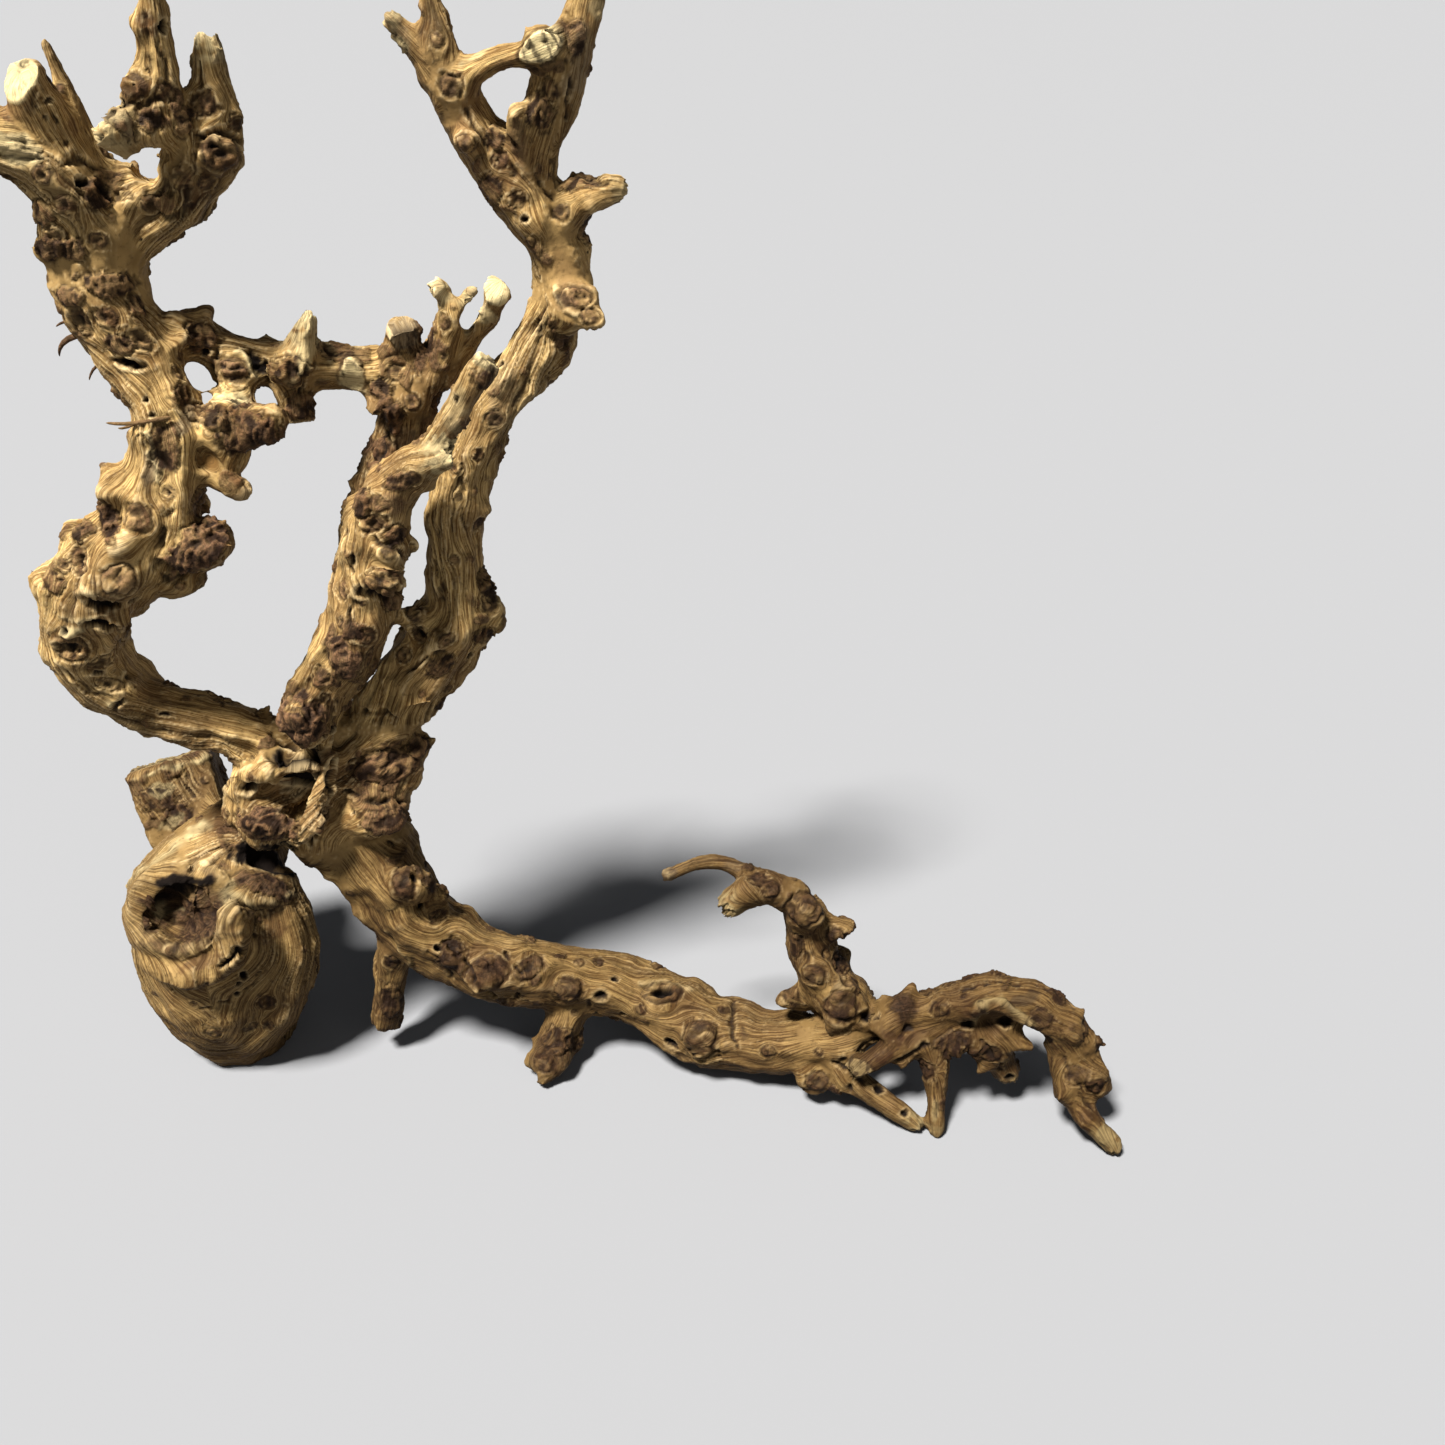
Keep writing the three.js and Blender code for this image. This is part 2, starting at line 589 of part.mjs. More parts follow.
/** The block below the ground, which trims every foot flat where it stands. */
function groundBlock() {
  const slab = new THREE.BoxGeometry(3 * SPREAD, 3 * SPREAD, GROUND_SLAB);
  slab.translate(0, 0, GROUND - GROUND_SLAB / 2);
  return solidOf(slab);
}

/** The largest of the bodies that a cut leaves. */
function largest(solid) {
  return solid.decompose().reduce((best, body) => (body.volume() > best.volume() ? body : best));
}

/** A named mesh of the wood made from a finished solid. */
function woodMesh(name, solid, colour) {
  const { vertProperties, triVerts } = solid.getMesh();
  const geometry = new THREE.BufferGeometry();
  geometry.setAttribute("position", new THREE.BufferAttribute(new Float32Array(vertProperties), 3));
  geometry.setIndex(new THREE.BufferAttribute(new Uint32Array(triVerts), 1));
  const surface = new THREE.MeshStandardMaterial({
    color: colour,
    roughness: DRY_ROUGHNESS,
    metalness: 0,
    flatShading: true,
  });
  const mesh = new THREE.Mesh(geometry, surface);
  mesh.name = name;
  return mesh;
}

// From the heart of the root outwards: each limb is trimmed by the ones before it
const limbs = {
  knotted_hub: knottedHub,
  root_burl: rootBurl,
  sawn_stub: sawnStub,
  low_limb: lowLimb,
  left_limb: leftLimb,
  middle_limb: middleLimb,
  right_limb: rightLimb,
  rear_stem: rearStem,
  bridge_limb: bridgeLimb,
  left_crown: leftCrown,
  crown_fork: crownFork,
  right_crown: rightCrown,
  hook_branch: hookBranch,
  foot_spray: footSpray,
};

const coralWood = new THREE.Group();
coralWood.name = "coral_wood";
coralWood.position.set(...MIDDLE);

let neighbours = groundBlock();
for (const [name, { colour, grown, pits = [], filled = [] }] of Object.entries(limbs)) {
  let solid = joined(grown);
  if (pits.length) {
    solid = solid.subtract(joined(pits));
  }
  if (filled.length) {
    solid = solid.add(joined(filled));
  }
  solid = largest(solid.subtract(neighbours));
  coralWood.add(woodMesh(name, solid, colour));
  neighbours = neighbours.add(joined([...grown, ...filled], FORK_GAP));
}

export default coralWood;
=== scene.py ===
"""The coral wood: a knotted, branching root, dressed over its solid frame.

Sizes are in millimetres, and are turned into metres where a mesh is made. Limbs are described in the
root's own working frame, whose X = 0 lies in the middle of the picture's width, and MIDDLE moves them
to the solid's frame.
"""

import itertools
import logging
import math
from dataclasses import dataclass, fields
from enum import Enum

import bpy
import numpy as np
from mathutils import Matrix, Vector
from mathutils.bvhtree import BVHTree


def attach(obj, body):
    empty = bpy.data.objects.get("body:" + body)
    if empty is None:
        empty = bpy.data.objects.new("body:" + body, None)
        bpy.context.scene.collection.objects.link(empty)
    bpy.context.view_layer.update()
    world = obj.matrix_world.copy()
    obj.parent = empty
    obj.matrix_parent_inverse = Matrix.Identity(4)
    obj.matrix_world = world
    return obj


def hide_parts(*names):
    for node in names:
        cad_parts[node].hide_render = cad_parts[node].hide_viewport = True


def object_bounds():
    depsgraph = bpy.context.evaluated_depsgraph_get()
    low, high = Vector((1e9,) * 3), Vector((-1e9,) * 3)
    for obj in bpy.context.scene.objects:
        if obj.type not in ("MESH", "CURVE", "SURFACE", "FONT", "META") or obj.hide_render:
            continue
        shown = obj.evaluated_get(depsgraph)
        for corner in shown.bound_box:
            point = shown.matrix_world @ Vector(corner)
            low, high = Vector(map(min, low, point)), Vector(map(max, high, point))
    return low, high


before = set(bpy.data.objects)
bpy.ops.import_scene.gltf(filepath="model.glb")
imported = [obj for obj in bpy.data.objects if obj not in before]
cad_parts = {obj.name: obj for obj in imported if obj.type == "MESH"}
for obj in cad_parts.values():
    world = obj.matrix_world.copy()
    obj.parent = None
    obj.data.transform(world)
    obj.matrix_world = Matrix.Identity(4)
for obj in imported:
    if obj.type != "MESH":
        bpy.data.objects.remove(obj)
cad_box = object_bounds()

log = logging.getLogger("coral_wood")

MM = 0.001
MIDDLE = (39.5, -7.5, 0.0)
VOXEL = 1.25
QUICK_VOXEL = 1.6
# The length of the steps into which a grain line is cut
GRAIN_STEP = 2.5
SHOOT_SIDES = 9
TWIG_SIDES = 7
# Colour masks: the hollow and dark ones carry painted shade, the groove one painted shade and dark grain,
# the one for crests wear and a painted highlight; the rest are the wood's own colours
MASKS = ("tone", "knot", "bark", "pale", "hollow", "groove", "grey", "worn_and_highlit", "dark")

Place = tuple[float, float, float]
Pixel = tuple[float, float]
Station = tuple[float, float, float, float]
Size = tuple[float, float]
Rgb = tuple[float, float, float]
Rgba = tuple[float, float, float, float]
Array = np.ndarray
Piece = bpy.types.Object
Socket = bpy.types.NodeSocket
Items = bpy.types.bpy_prop_collection
ShaderTree = bpy.types.NodeTree


class Slot(Enum):
    """The record's material slots."""

    OCHRE = "ochre_wood"
    BROWN = "brown_wood"
    SAWN = "sawn_wood"


class Cut(Enum):
    """How the end of a limb looks."""

    TORN = "torn"
    SAWN = "sawn"


def smooth(low: float, high: float, value: Array) -> Array:
    """Rises smoothly from 0 at low to 1 at high."""
    share = np.clip((value - low) / (high - low), 0.0, 1.0)
    return share * share * (3.0 - 2.0 * share)


def unit(vector: Array) -> Array:
    """The vector, or each row of an array of vectors, at length 1."""
    return vector / np.maximum(np.linalg.norm(vector, axis=-1, keepdims=True), 1e-9)


def placed(point: Place) -> Array:
    """A place of the working frame in the solid's frame."""
    return np.array(point, dtype=float) + np.array(MIDDLE)


def pick(active: Piece, *others: Piece) -> None:
    """Selects some objects and nothing else, and makes the first of them the active one.

    Args:
        active: the one that the next steps work on.
        others: what else is selected.
    """
    bpy.ops.object.select_all(action="DESELECT")
    for piece in (active, *others):
        piece.select_set(True)
    bpy.context.view_layer.objects.active = active


def reshape(piece: Piece, kind: str, **settings: object) -> None:
    """Gives the active object a modifier and applies it.

    Args:
        piece: the active object.
        kind: Blender's name of the modifier.
        settings: the modifier's own settings.
    """
    modifier = piece.modifiers.new(kind.lower(), kind)
    for name, value in settings.items():
        setattr(modifier, name, value)
    bpy.ops.object.modifier_apply(modifier=modifier.name)


class Noise:
    """Smooth random fields over space, the same on every run."""

    CELLS = 4096
    # How far the places of one seed lie from those of the next, and what brings the values to about 1
    APART = 17.31
    GAIN = 1.7

    def __init__(self, seed: int = 11) -> None:
        """Draws the slopes and the order of the cells.

        Args:
            seed: where the random series starts.
        """
        series = np.random.default_rng(seed)
        self.slopes = unit(series.normal(size=(self.CELLS, 3))).astype(np.float32)
        self.order = series.permutation(self.CELLS).astype(np.int32)

    def at(self, points: Array, size: float | Place, seed: int = 0) -> Array:
        """Values from about -1 to 1.

        Args:
            points: places, one in each row.
            size: the size of the humps, the same each way or one for each axis.
            seed: which of the many fields is read.

        Returns:
            One value for each place.
        """
        place = (points / np.asarray(size, dtype=float) + self.APART * (seed + 1)).astype(np.float32)
        cell = np.floor(place).astype(np.int32)
        local = place - cell
        ease = local * local * local * (local * (local * 6.0 - 15.0) + 10.0)
        last = self.CELLS - 1
        total = np.zeros(len(points), dtype=np.float32)
        for corner in itertools.product((0, 1), repeat=3):
            key = self.order[(cell[:, 2] + corner[2]) & last]
            key = self.order[(cell[:, 1] + corner[1] + key) & last]
            key = self.order[(cell[:, 0] + corner[0] + key) & last]
            step = np.array(corner, dtype=np.float32)
            share = np.where(step > 0, ease, 1.0 - ease).prod(axis=1)
            total += share * (self.slopes[key] * (local - step)).sum(axis=1)
        return total * self.GAIN


@dataclass(frozen=True)
class PhotoCamera:
    """The camera that the picture was taken with, as its perspective tells."""

    place: Place = (39.5, -372.5, 357.45)
    pitch: float = math.radians(30.596)
    focal: float = 1360.0
    side: float = 1445.0
    sensor: float = 36.0
    clip: Size = (0.01, 60.0)

    def ray(self, pixel: Pixel) -> tuple[Array, Array]:
        """The line of sight through a pixel.

        Args:
            pixel: column and row in the picture.

        Returns:
            The camera's place and the direction, at length 1.
        """
        across = (pixel[0] - self.side / 2) / self.focal
        down = (pixel[1] - self.side / 2) / self.focal
        ahead = math.cos(self.pitch) - down * math.sin(self.pitch)
        drop = math.sin(self.pitch) + down * math.cos(self.pitch)
        return np.array(self.place), unit(np.array([across, ahead, -drop]))

    def up(self) -> Array:
        """The direction that is up in the picture."""
        return np.array([0.0, math.sin(self.pitch), math.cos(self.pitch)])

    def ahead(self) -> Array:
        """The direction in which the camera looks."""
        return np.array([0.0, math.cos(self.pitch), -math.sin(self.pitch)])

    def build(self) -> None:
        """Puts the camera in the scene."""
        data = bpy.data.cameras.new("photo_camera")
        data.sensor_width = self.sensor
        data.lens = self.sensor * self.focal / self.side
        data.clip_start, data.clip_end = self.clip
        camera = bpy.data.objects.new("photo_camera", data)
        camera.location = Vector(self.place) * MM
        camera.rotation_euler = (math.pi / 2 - self.pitch, 0.0, 0.0)
        bpy.context.scene.collection.objects.link(camera)
        bpy.context.scene.camera = camera


@dataclass
class TracedLine:
    """A grain line cut into short steps, each with a frame that doesn't turn about the line."""

    path: Array
    radii: Array
    heading: Array
    side: Array
    over: Array
    length: Array
    twist: float

    def read(self, points: Array, noise: Noise, seed: int) -> tuple[Array, Array, Array]:
        """The places as they would lie on the limb if it were straight.

        Args:
            points: places, one in each row.
            noise: the fields that make the fibres wander.
            seed: which field this line uses.

        Returns:
            How far each place is from the line, as a share of the limb's radius, the straightened
            places, and the limb's radius beside each place.
        """
        apart = (self.path**2).sum(axis=1) - 2.0 * points @ self.path.T
        nearest = apart.argmin(axis=1)
        offset = points - self.path[nearest]
        along = (offset * self.heading[nearest]).sum(axis=1)
        across = (offset * self.side[nearest]).sum(axis=1)
        above = (offset * self.over[nearest]).sum(axis=1)
        radial = np.sqrt(across**2 + above**2)
        beyond = np.maximum(np.abs(along) - GRAIN_STEP, 0.0)
        reach = np.sqrt(radial**2 + beyond**2) / self.radii[nearest]
        distance = self.length[nearest] + along
        turn = self.twist * distance
        wander = np.stack([distance, np.full_like(distance, seed * 9.7), across * 0.0], axis=1)
        turn = turn + 0.35 * noise.at(wander, 26.0, seed)
        mean = float(self.radii.mean())
        ratio = mean / np.maximum(radial, 0.5)
        flat_x = (across * np.cos(turn) - above * np.sin(turn)) * ratio
        flat_y = (across * np.sin(turn) + above * np.cos(turn)) * ratio
        return reach, np.stack([flat_x + seed * 61.0, flat_y, distance], axis=1), self.radii[nearest]


@dataclass(frozen=True)
class GrainLine:
    """A line that the fibres follow: stations of x, y, z and the limb's radius there."""

    ROUNDING = 4

    stations: tuple[Station, ...]
    twist: float = 0.011

    def trace(self, step: float = GRAIN_STEP) -> TracedLine:
        """Cuts the line into short steps and rounds its corners.

        Args:
            step: length of a step.

        Returns:
            The traced line.
        """
        rows = np.array(self.stations, dtype=float)
        rows[:, :3] += np.array(MIDDLE)
        measure = np.r_[0.0, np.cumsum(np.linalg.norm(np.diff(rows[:, :3], axis=0), axis=1))]
        count = max(4, int(measure[-1] / step))
        places = np.linspace(0.0, measure[-1], count)
        table = np.stack([np.interp(places, measure, rows[:, axis]) for axis in range(4)], axis=1)
        for _ in range(self.ROUNDING):
            table[1:-1] = 0.25 * table[:-2] + 0.5 * table[1:-1] + 0.25 * table[2:]
        path = table[:, :3]
        heading = unit(np.gradient(path, axis=0))
        side = np.zeros_like(path)
        seed_side = np.array([0.0, 1.0, 0.0]) if abs(heading[0][1]) < 0.9 else np.array([1.0, 0.0, 0.0])
        side[0] = unit(np.cross(heading[0], seed_side))
        for index in range(1, count):
            carried = side[index - 1] - heading[index] * float(side[index - 1] @ heading[index])
            side[index] = unit(carried)
        over = np.cross(heading, side)
        length = np.r_[0.0, np.cumsum(np.linalg.norm(np.diff(path, axis=0), axis=1))]
        return TracedLine(path, table[:, 3], heading, side, over, length, self.twist)


@dataclass
class Spot:
    """A place on the skin with its own directions."""

    centre: Array
    normal: Array
    right: Array
    up: Array
    scale: float

    def turned(self, degrees: float) -> tuple[Array, Array]:
        """Two directions in the skin, turned anticlockwise.

        Args:
            degrees: the turn.

        Returns:
            The long and the short direction of a mark.
        """
        angle = math.radians(degrees)
        long_way = self.right * math.cos(angle) + self.up * math.sin(angle)
        long_way = unit(long_way - self.normal * float(long_way @ self.normal))
        return long_way, np.cross(self.normal, long_way)


class Canvas:
    """The skin's points, and what the marks do to them."""

    def __init__(self, points: Array, normals: Array, owners: Array, noise: Noise) -> None:
        """Starts with nothing marked.

        Args:
            points: the skin's points.
            normals: the skin's direction at each of them.
            owners: the number of the limb that each of them belongs to.
            noise: the fields that make the marks uneven.
        """
        self.points = points
        self.normals = normals
        self.noise = noise
        self.owners = owners
        self.owner = 0
        self.red = 0.7
        self.lift = np.zeros(len(points))
        self.shift = np.zeros((len(points), 3))
        self.bend = np.zeros((len(points), 3))
        self.calm = np.zeros(len(points))
        self.masks = {name: np.zeros(len(points)) for name in MASKS}
        self.order = np.argsort(points[:, 0])
        self.columns = points[self.order, 0]

    def near(self, centre: Array, reach: float, normal: Array | None = None) -> Array:
        """The numbers of the points around a place.

        Args:
            centre: the place.
            reach: how far around it.
            normal: the side that the points have to face.

        Returns:
            The numbers of the points.
        """
        first, last = np.searchsorted(self.columns, (centre[0] - reach, centre[0] + reach))
        found = self.order[first:last]
        apart = np.abs(self.points[found] - centre)
        found = found[(apart[:, 1] < reach) & (apart[:, 2] < reach)]
        if normal is not None and len(found):
            found = found[self.normals[found] @ normal > -0.1]
        return found

    def stain(self, name: str, found: Array, amount: Array) -> None:
        """Leaves a mask at least as strong as the amount.

        Args:
            name: the mask.
            found: the numbers of the points.
            amount: one value for each of them.
        """
        share = self.red if name == "knot" else 1.0
        self.masks[name][found] = np.maximum(self.masks[name][found], amount * share)

    def settle(self, found: Array, amount: Array) -> None:
        """Keeps fibres and bark off some points, at least as much as the amount."""
        self.calm[found] = np.maximum(self.calm[found], amount)


@dataclass(frozen=True)
class Mark:
    """A mark on the bark, placed by the pixel where the picture shows it, with half sizes in pixels."""

    pixel: Pixel
    size: Size
    turn: float = 0.0

    def press(self, canvas: Canvas, spot: Spot, heading: Array) -> None:
        """Puts the mark on the canvas.

        Args:
            canvas: what it is pressed into.
            spot: where it lies.
            heading: the way that the fibres run there.
        """
        raise NotImplementedError

    def measure(self, canvas: Canvas, spot: Spot, spread: float) -> tuple[Array, Array, Array]:
        """How far the points around the mark are from its middle.

        Args:
            canvas: the points.
            spot: where the mark lies.
            spread: how many half sizes away points still count.

        Returns:
            The numbers of the points, their distance with 1 at the mark's edge, and their places.
        """
        long_way, short_way = spot.turned(self.turn)
        half_long = self.size[0] * spot.scale
        half_short = self.size[1] * spot.scale
        reach = max(half_long, half_short)
        found = canvas.near(spot.centre, reach * spread, spot.normal)
        offset = canvas.points[found] - spot.centre
        deep = np.abs(offset @ spot.normal) < reach * 1.1 + 2.0
        found = found[deep]
        offset = offset[deep]
        distance = np.sqrt((offset @ long_way / half_long) ** 2 + (offset @ short_way / half_short) ** 2)
        return found, distance, canvas.points[found]


@dataclass(frozen=True)
class Knot(Mark):
    """An eye-like knot: a raised collar, rings inside it and a bowl in the middle, in bent fibres."""

    lip: float = 0.9
    hole: float = 1.2
    red: float = 0.8

    def press(self, canvas: Canvas, spot: Spot, heading: Array) -> None:
        """Puts the knot on the canvas.

        Args:
            canvas: what it is pressed into.
            spot: where it lies.
            heading: the way that the fibres run there.
        """
        found, distance, places = self.measure(canvas, spot, 4.5)
        reach = (self.size[0] + self.size[1]) / 2 * spot.scale
        noise = canvas.noise
        rough = noise.at(places, max(1.8, reach * 0.8), 3)
        crisp = noise.at(places, max(1.0, reach * 0.3), 4)
        far = distance * (1.0 + 0.26 * rough + 0.08 * crisp)
        fine = max(0.1, 0.5 / reach)
        swell = np.exp(-((far / 1.6) ** 2))
        rim = np.exp(-(((far - 1.2) / 0.3) ** 2)) * (0.7 + 0.9 * rough)
        core = 1.0 - smooth(0.8, 0.95, far)
        ring = np.exp(-(((far - 0.95) / fine) ** 2))
        crumbs = bark_relief(noise, places, heading)
        bowl = 1.0 - smooth(0.05, 0.8, distance * (1.0 + 0.5 * crisp + 0.3 * rough))
        lift = 0.6 * swell + 0.22 * rim + core * (0.55 * crumbs - 0.05) - 0.6 * ring
        canvas.lift[found] += self.lip * lift - self.hole * 0.8 * bowl
        within = 1.0 - smooth(0.85, 1.0, far)
        canvas.stain("knot", found, self.red * within * np.clip(0.8 + rough, 0.3, 1.0))
        canvas.stain("bark", found, (1.05 - canvas.red) * within * np.clip(0.75 + rough, 0.2, 1.0))
        canvas.stain("tone", found, 0.45 * self.red * (1.0 - smooth(1.0, 1.5, far)))
        # Painted shade: the bowl is darkened through the hollow mask, the ring and the low crumbs through
        # the groove mask
        dark = float(np.clip((self.hole - 0.6) / 1.4, 0.0, 1.0))
        canvas.stain("hollow", found, dark * (1.0 - smooth(0.12, 0.55, distance * (1.0 + 0.6 * crisp))))
        canvas.stain("groove", found, ring * np.clip(0.75 + 1.1 * rough, 0.1, 1.0))
        canvas.stain("groove", found, 0.8 * core * smooth(0.15, -0.25, crumbs))
        canvas.settle(found, 1.0 - smooth(0.9, 1.15, far))
        offset = canvas.points[found] - spot.centre
        cross = unit(np.cross(spot.normal, heading))
        aside = offset @ cross
        ahead = offset @ unit(heading)
        round_way = np.maximum(aside**2 + ahead**2, 1e-6)
        size = reach * 1.15
        share = np.minimum(size * size / round_way, 1.0)
        fade = 1.0 - smooth(2.6, 4.4, np.sqrt(round_way) / reach)
        canvas.bend[found] -= np.outer(aside * share * fade, cross)


@dataclass(frozen=True)
class Scab(Mark):
    """A rough patch of old bark that stands proud of the wood."""

    height: float = 1.0
    red: float = 0.3
    dark: float = 0.9

    def press(self, canvas: Canvas, spot: Spot, heading: Array) -> None:
        """Puts the patch on the canvas.

        Args:
            canvas: what it is pressed into.
            spot: where it lies.
            heading: the way that the fibres run there.
        """
        found, distance, places = self.measure(canvas, spot, 1.9)
        noise = canvas.noise
        edge = distance + 0.3 * noise.at(places, 5.0, 5) + 0.2 * noise.at(places, 1.9, 6)
        body = 1.0 - smooth(0.86, 0.98, edge)
        crumbs = bark_relief(noise, places, heading)
        ditch = np.exp(-(((edge - 1.04) / 0.08) ** 2))
        canvas.lift[found] += self.height * (body * (0.3 + 0.9 * crumbs) - 0.35 * ditch)
        canvas.stain("bark", found, self.dark * body)
        canvas.stain("knot", found, self.red * body)
        # Painted shade, partly dark bark: the low crumbs and the ditch round the patch go into the groove
        # mask
        canvas.stain("groove", found, np.maximum(body * smooth(0.25, -0.25, crumbs), 0.85 * ditch))
        canvas.settle(found, 0.85 * body)


def bark_relief(noise: Noise, places: Array, heading: Array) -> Array:
    """The broken surface of old bark: curling folds along the limb, with splits between them.

    Args:
        noise: the random fields.
        places: where it is read.
        heading: the way along the limb.

    Returns:
        Heights from about -0.6 to 0.9.
    """
    curl = np.stack([noise.at(places, 7.0, seed) for seed in (10, 11, 13)], axis=1)
    bent = places + 2.4 * curl
    bent = bent - 0.6 * np.outer(bent @ heading, heading)
    folds = 1.0 - 3.4 * np.abs(noise.at(bent, 3.4, 7))
    grains = 1.0 - 2.6 * np.abs(noise.at(bent, 1.6, 8))
    return 0.5 * folds + 0.28 * grains + 0.2 * noise.at(places, 1.0, 9) - 0.1


@dataclass(frozen=True)
class Pit(Mark):
    """A hole in the wood with a thin lip, its inside darkened with painted shade."""

    depth: float = 2.5
    dark: float = 1.0

    def press(self, canvas: Canvas, spot: Spot, heading: Array) -> None:
        """Puts the hole on the canvas.

        Args:
            canvas: what it is pressed into.
            spot: where it lies.
            heading: the way that the fibres run there; not used.
        """
        found, distance, places = self.measure(canvas, spot, 2.4)
        reach = min(self.size) * spot.scale
        far = distance + 0.22 * canvas.noise.at(places, max(1.2, reach), 12)
        hole = 1.0 - smooth(0.35, 1.0, far)
        lip = np.exp(-(((far - 1.2) / 0.22) ** 2))
        canvas.lift[found] += 0.07 * self.depth * lip - self.depth * hole
        # Painted shade inside the hole
        canvas.stain("hollow", found, self.dark * (1.0 - smooth(0.6, 1.02, far)))
        canvas.settle(found, 1.0 - smooth(0.7, 1.0, far))


@dataclass(frozen=True)
class SawnFace(Mark):
    """A flat face where a side limb was sawn off, with dark lines across it."""

    height: float = 0.8
    pale: float = 1.0
    grey: float = 0.0

    def press(self, canvas: Canvas, spot: Spot, heading: Array) -> None:
        """Puts the face on the canvas.

        Args:
            canvas: what it is pressed into.
            spot: where it lies.
            heading: the way that the fibres run there; not used.
        """
        found, distance, places = self.measure(canvas, spot, 2.0)
        edge = distance + 0.1 * canvas.noise.at(places, 4.0, 63)
        body = 1.0 - smooth(0.9, 1.02, edge)
        level = (places - spot.centre) @ spot.normal
        canvas.shift[found] += np.outer(body * (self.height - level - canvas.lift[found]), spot.normal)
        across = spot.turned(self.turn)[1]
        lines = canvas.noise.at(places - 0.8 * np.outer(places @ across, across), 1.6, 64)
        canvas.stain("pale", found, self.pale * body)
        canvas.stain("grey", found, self.grey * body)
        canvas.stain("groove", found, 0.85 * body * smooth(0.06, 0.3, lines))
        canvas.stain("groove", found, 0.8 * np.exp(-(((edge - 1.1) / 0.1) ** 2)))
        canvas.settle(found, body)


@dataclass(frozen=True)
class Swelling(Mark):
    """A smooth hump."""

    height: float = 1.6
    red: float = 0.0

    def press(self, canvas: Canvas, spot: Spot, heading: Array) -> None:
        """Puts the hump on the canvas.

        Args:
            canvas: what it is pressed into.
            spot: where it lies.
            heading: the way that the fibres run there; not used.
        """
        found, distance, places = self.measure(canvas, spot, 2.4)
        far = distance * (1.0 + 0.2 * canvas.noise.at(places, 5.0, 14))
        canvas.lift[found] += self.height * np.exp(-((far * 1.15) ** 2) * 1.2)
        canvas.stain("knot", found, self.red * (1.0 - smooth(0.6, 1.1, far)))


@dataclass(frozen=True)
class Stain(Mark):
    """A patch of another colour, with no relief of its own."""

    mask: str = "tone"
    amount: float = 0.7

    def press(self, canvas: Canvas, spot: Spot, heading: Array) -> None:
        """Puts the patch on the canvas.

        Args:
            canvas: what it is pressed into.
            spot: where it lies.
            heading: the way that the fibres run there; not used.
        """
        found, distance, places = self.measure(canvas, spot, 2.2)
        far = distance + 0.35 * canvas.noise.at(places, 4.0, 15) + 0.2 * canvas.noise.at(places, 1.6, 16)
        canvas.stain(self.mask, found, self.amount * (1.0 - smooth(0.7, 1.12, far)))


@dataclass(frozen=True)
class Crack:
    """A cleft along a chain of pixels; a depth below zero makes a ridge."""

    path: tuple[Pixel, ...]
    width: float = 1.0
    depth: float = 2.0
    pale: float = 0.0

    def press(self, canvas: Canvas, spots: list[Spot]) -> None:
        """Puts the cleft or ridge on the canvas.

        Args:
            canvas: what it is pressed into.
            spots: the places of the chain on the skin.
        """
        for first, second in zip(spots[:-1], spots[1:]):
            span = second.centre - first.centre
            middle = (first.centre + second.centre) / 2
            facing = unit(first.normal + second.normal)
            found = canvas.near(middle, float(np.linalg.norm(span)) / 2 + self.width * 4, facing)
            places = canvas.points[found]
            drift = np.stack([canvas.noise.at(places, 5.0, seed) for seed in (60, 61, 62)], axis=1)
            moved = places + 1.5 * drift
            share = np.clip((moved - first.centre) @ span / max(float(span @ span), 1e-6), 0.0, 1.0)
            gap = np.linalg.norm(moved - first.centre - np.outer(share, span), axis=1)
            gap = gap * (1.0 + 0.6 * canvas.noise.at(places, 3.5, 17))
            cleft = np.exp(-((gap / self.width) ** 2))
            wanted = -self.depth * cleft
            present = canvas.lift[found]
            if self.depth > 0:
                canvas.lift[found] = np.minimum(present, np.maximum(wanted, present + wanted))
                # Painted shade: the cleft is coloured near-black through the hollow mask
                canvas.stain("hollow", found, min(1.0, self.depth / 2.5) * smooth(0.35, 0.8, cleft))
            else:
                normals = canvas.normals[found]
                raised = np.maximum(np.abs(canvas.shift[found]), np.abs(normals * wanted[:, None]))
                canvas.shift[found] = raised * np.sign(normals)
                canvas.stain("pale", found, self.pale * cleft)


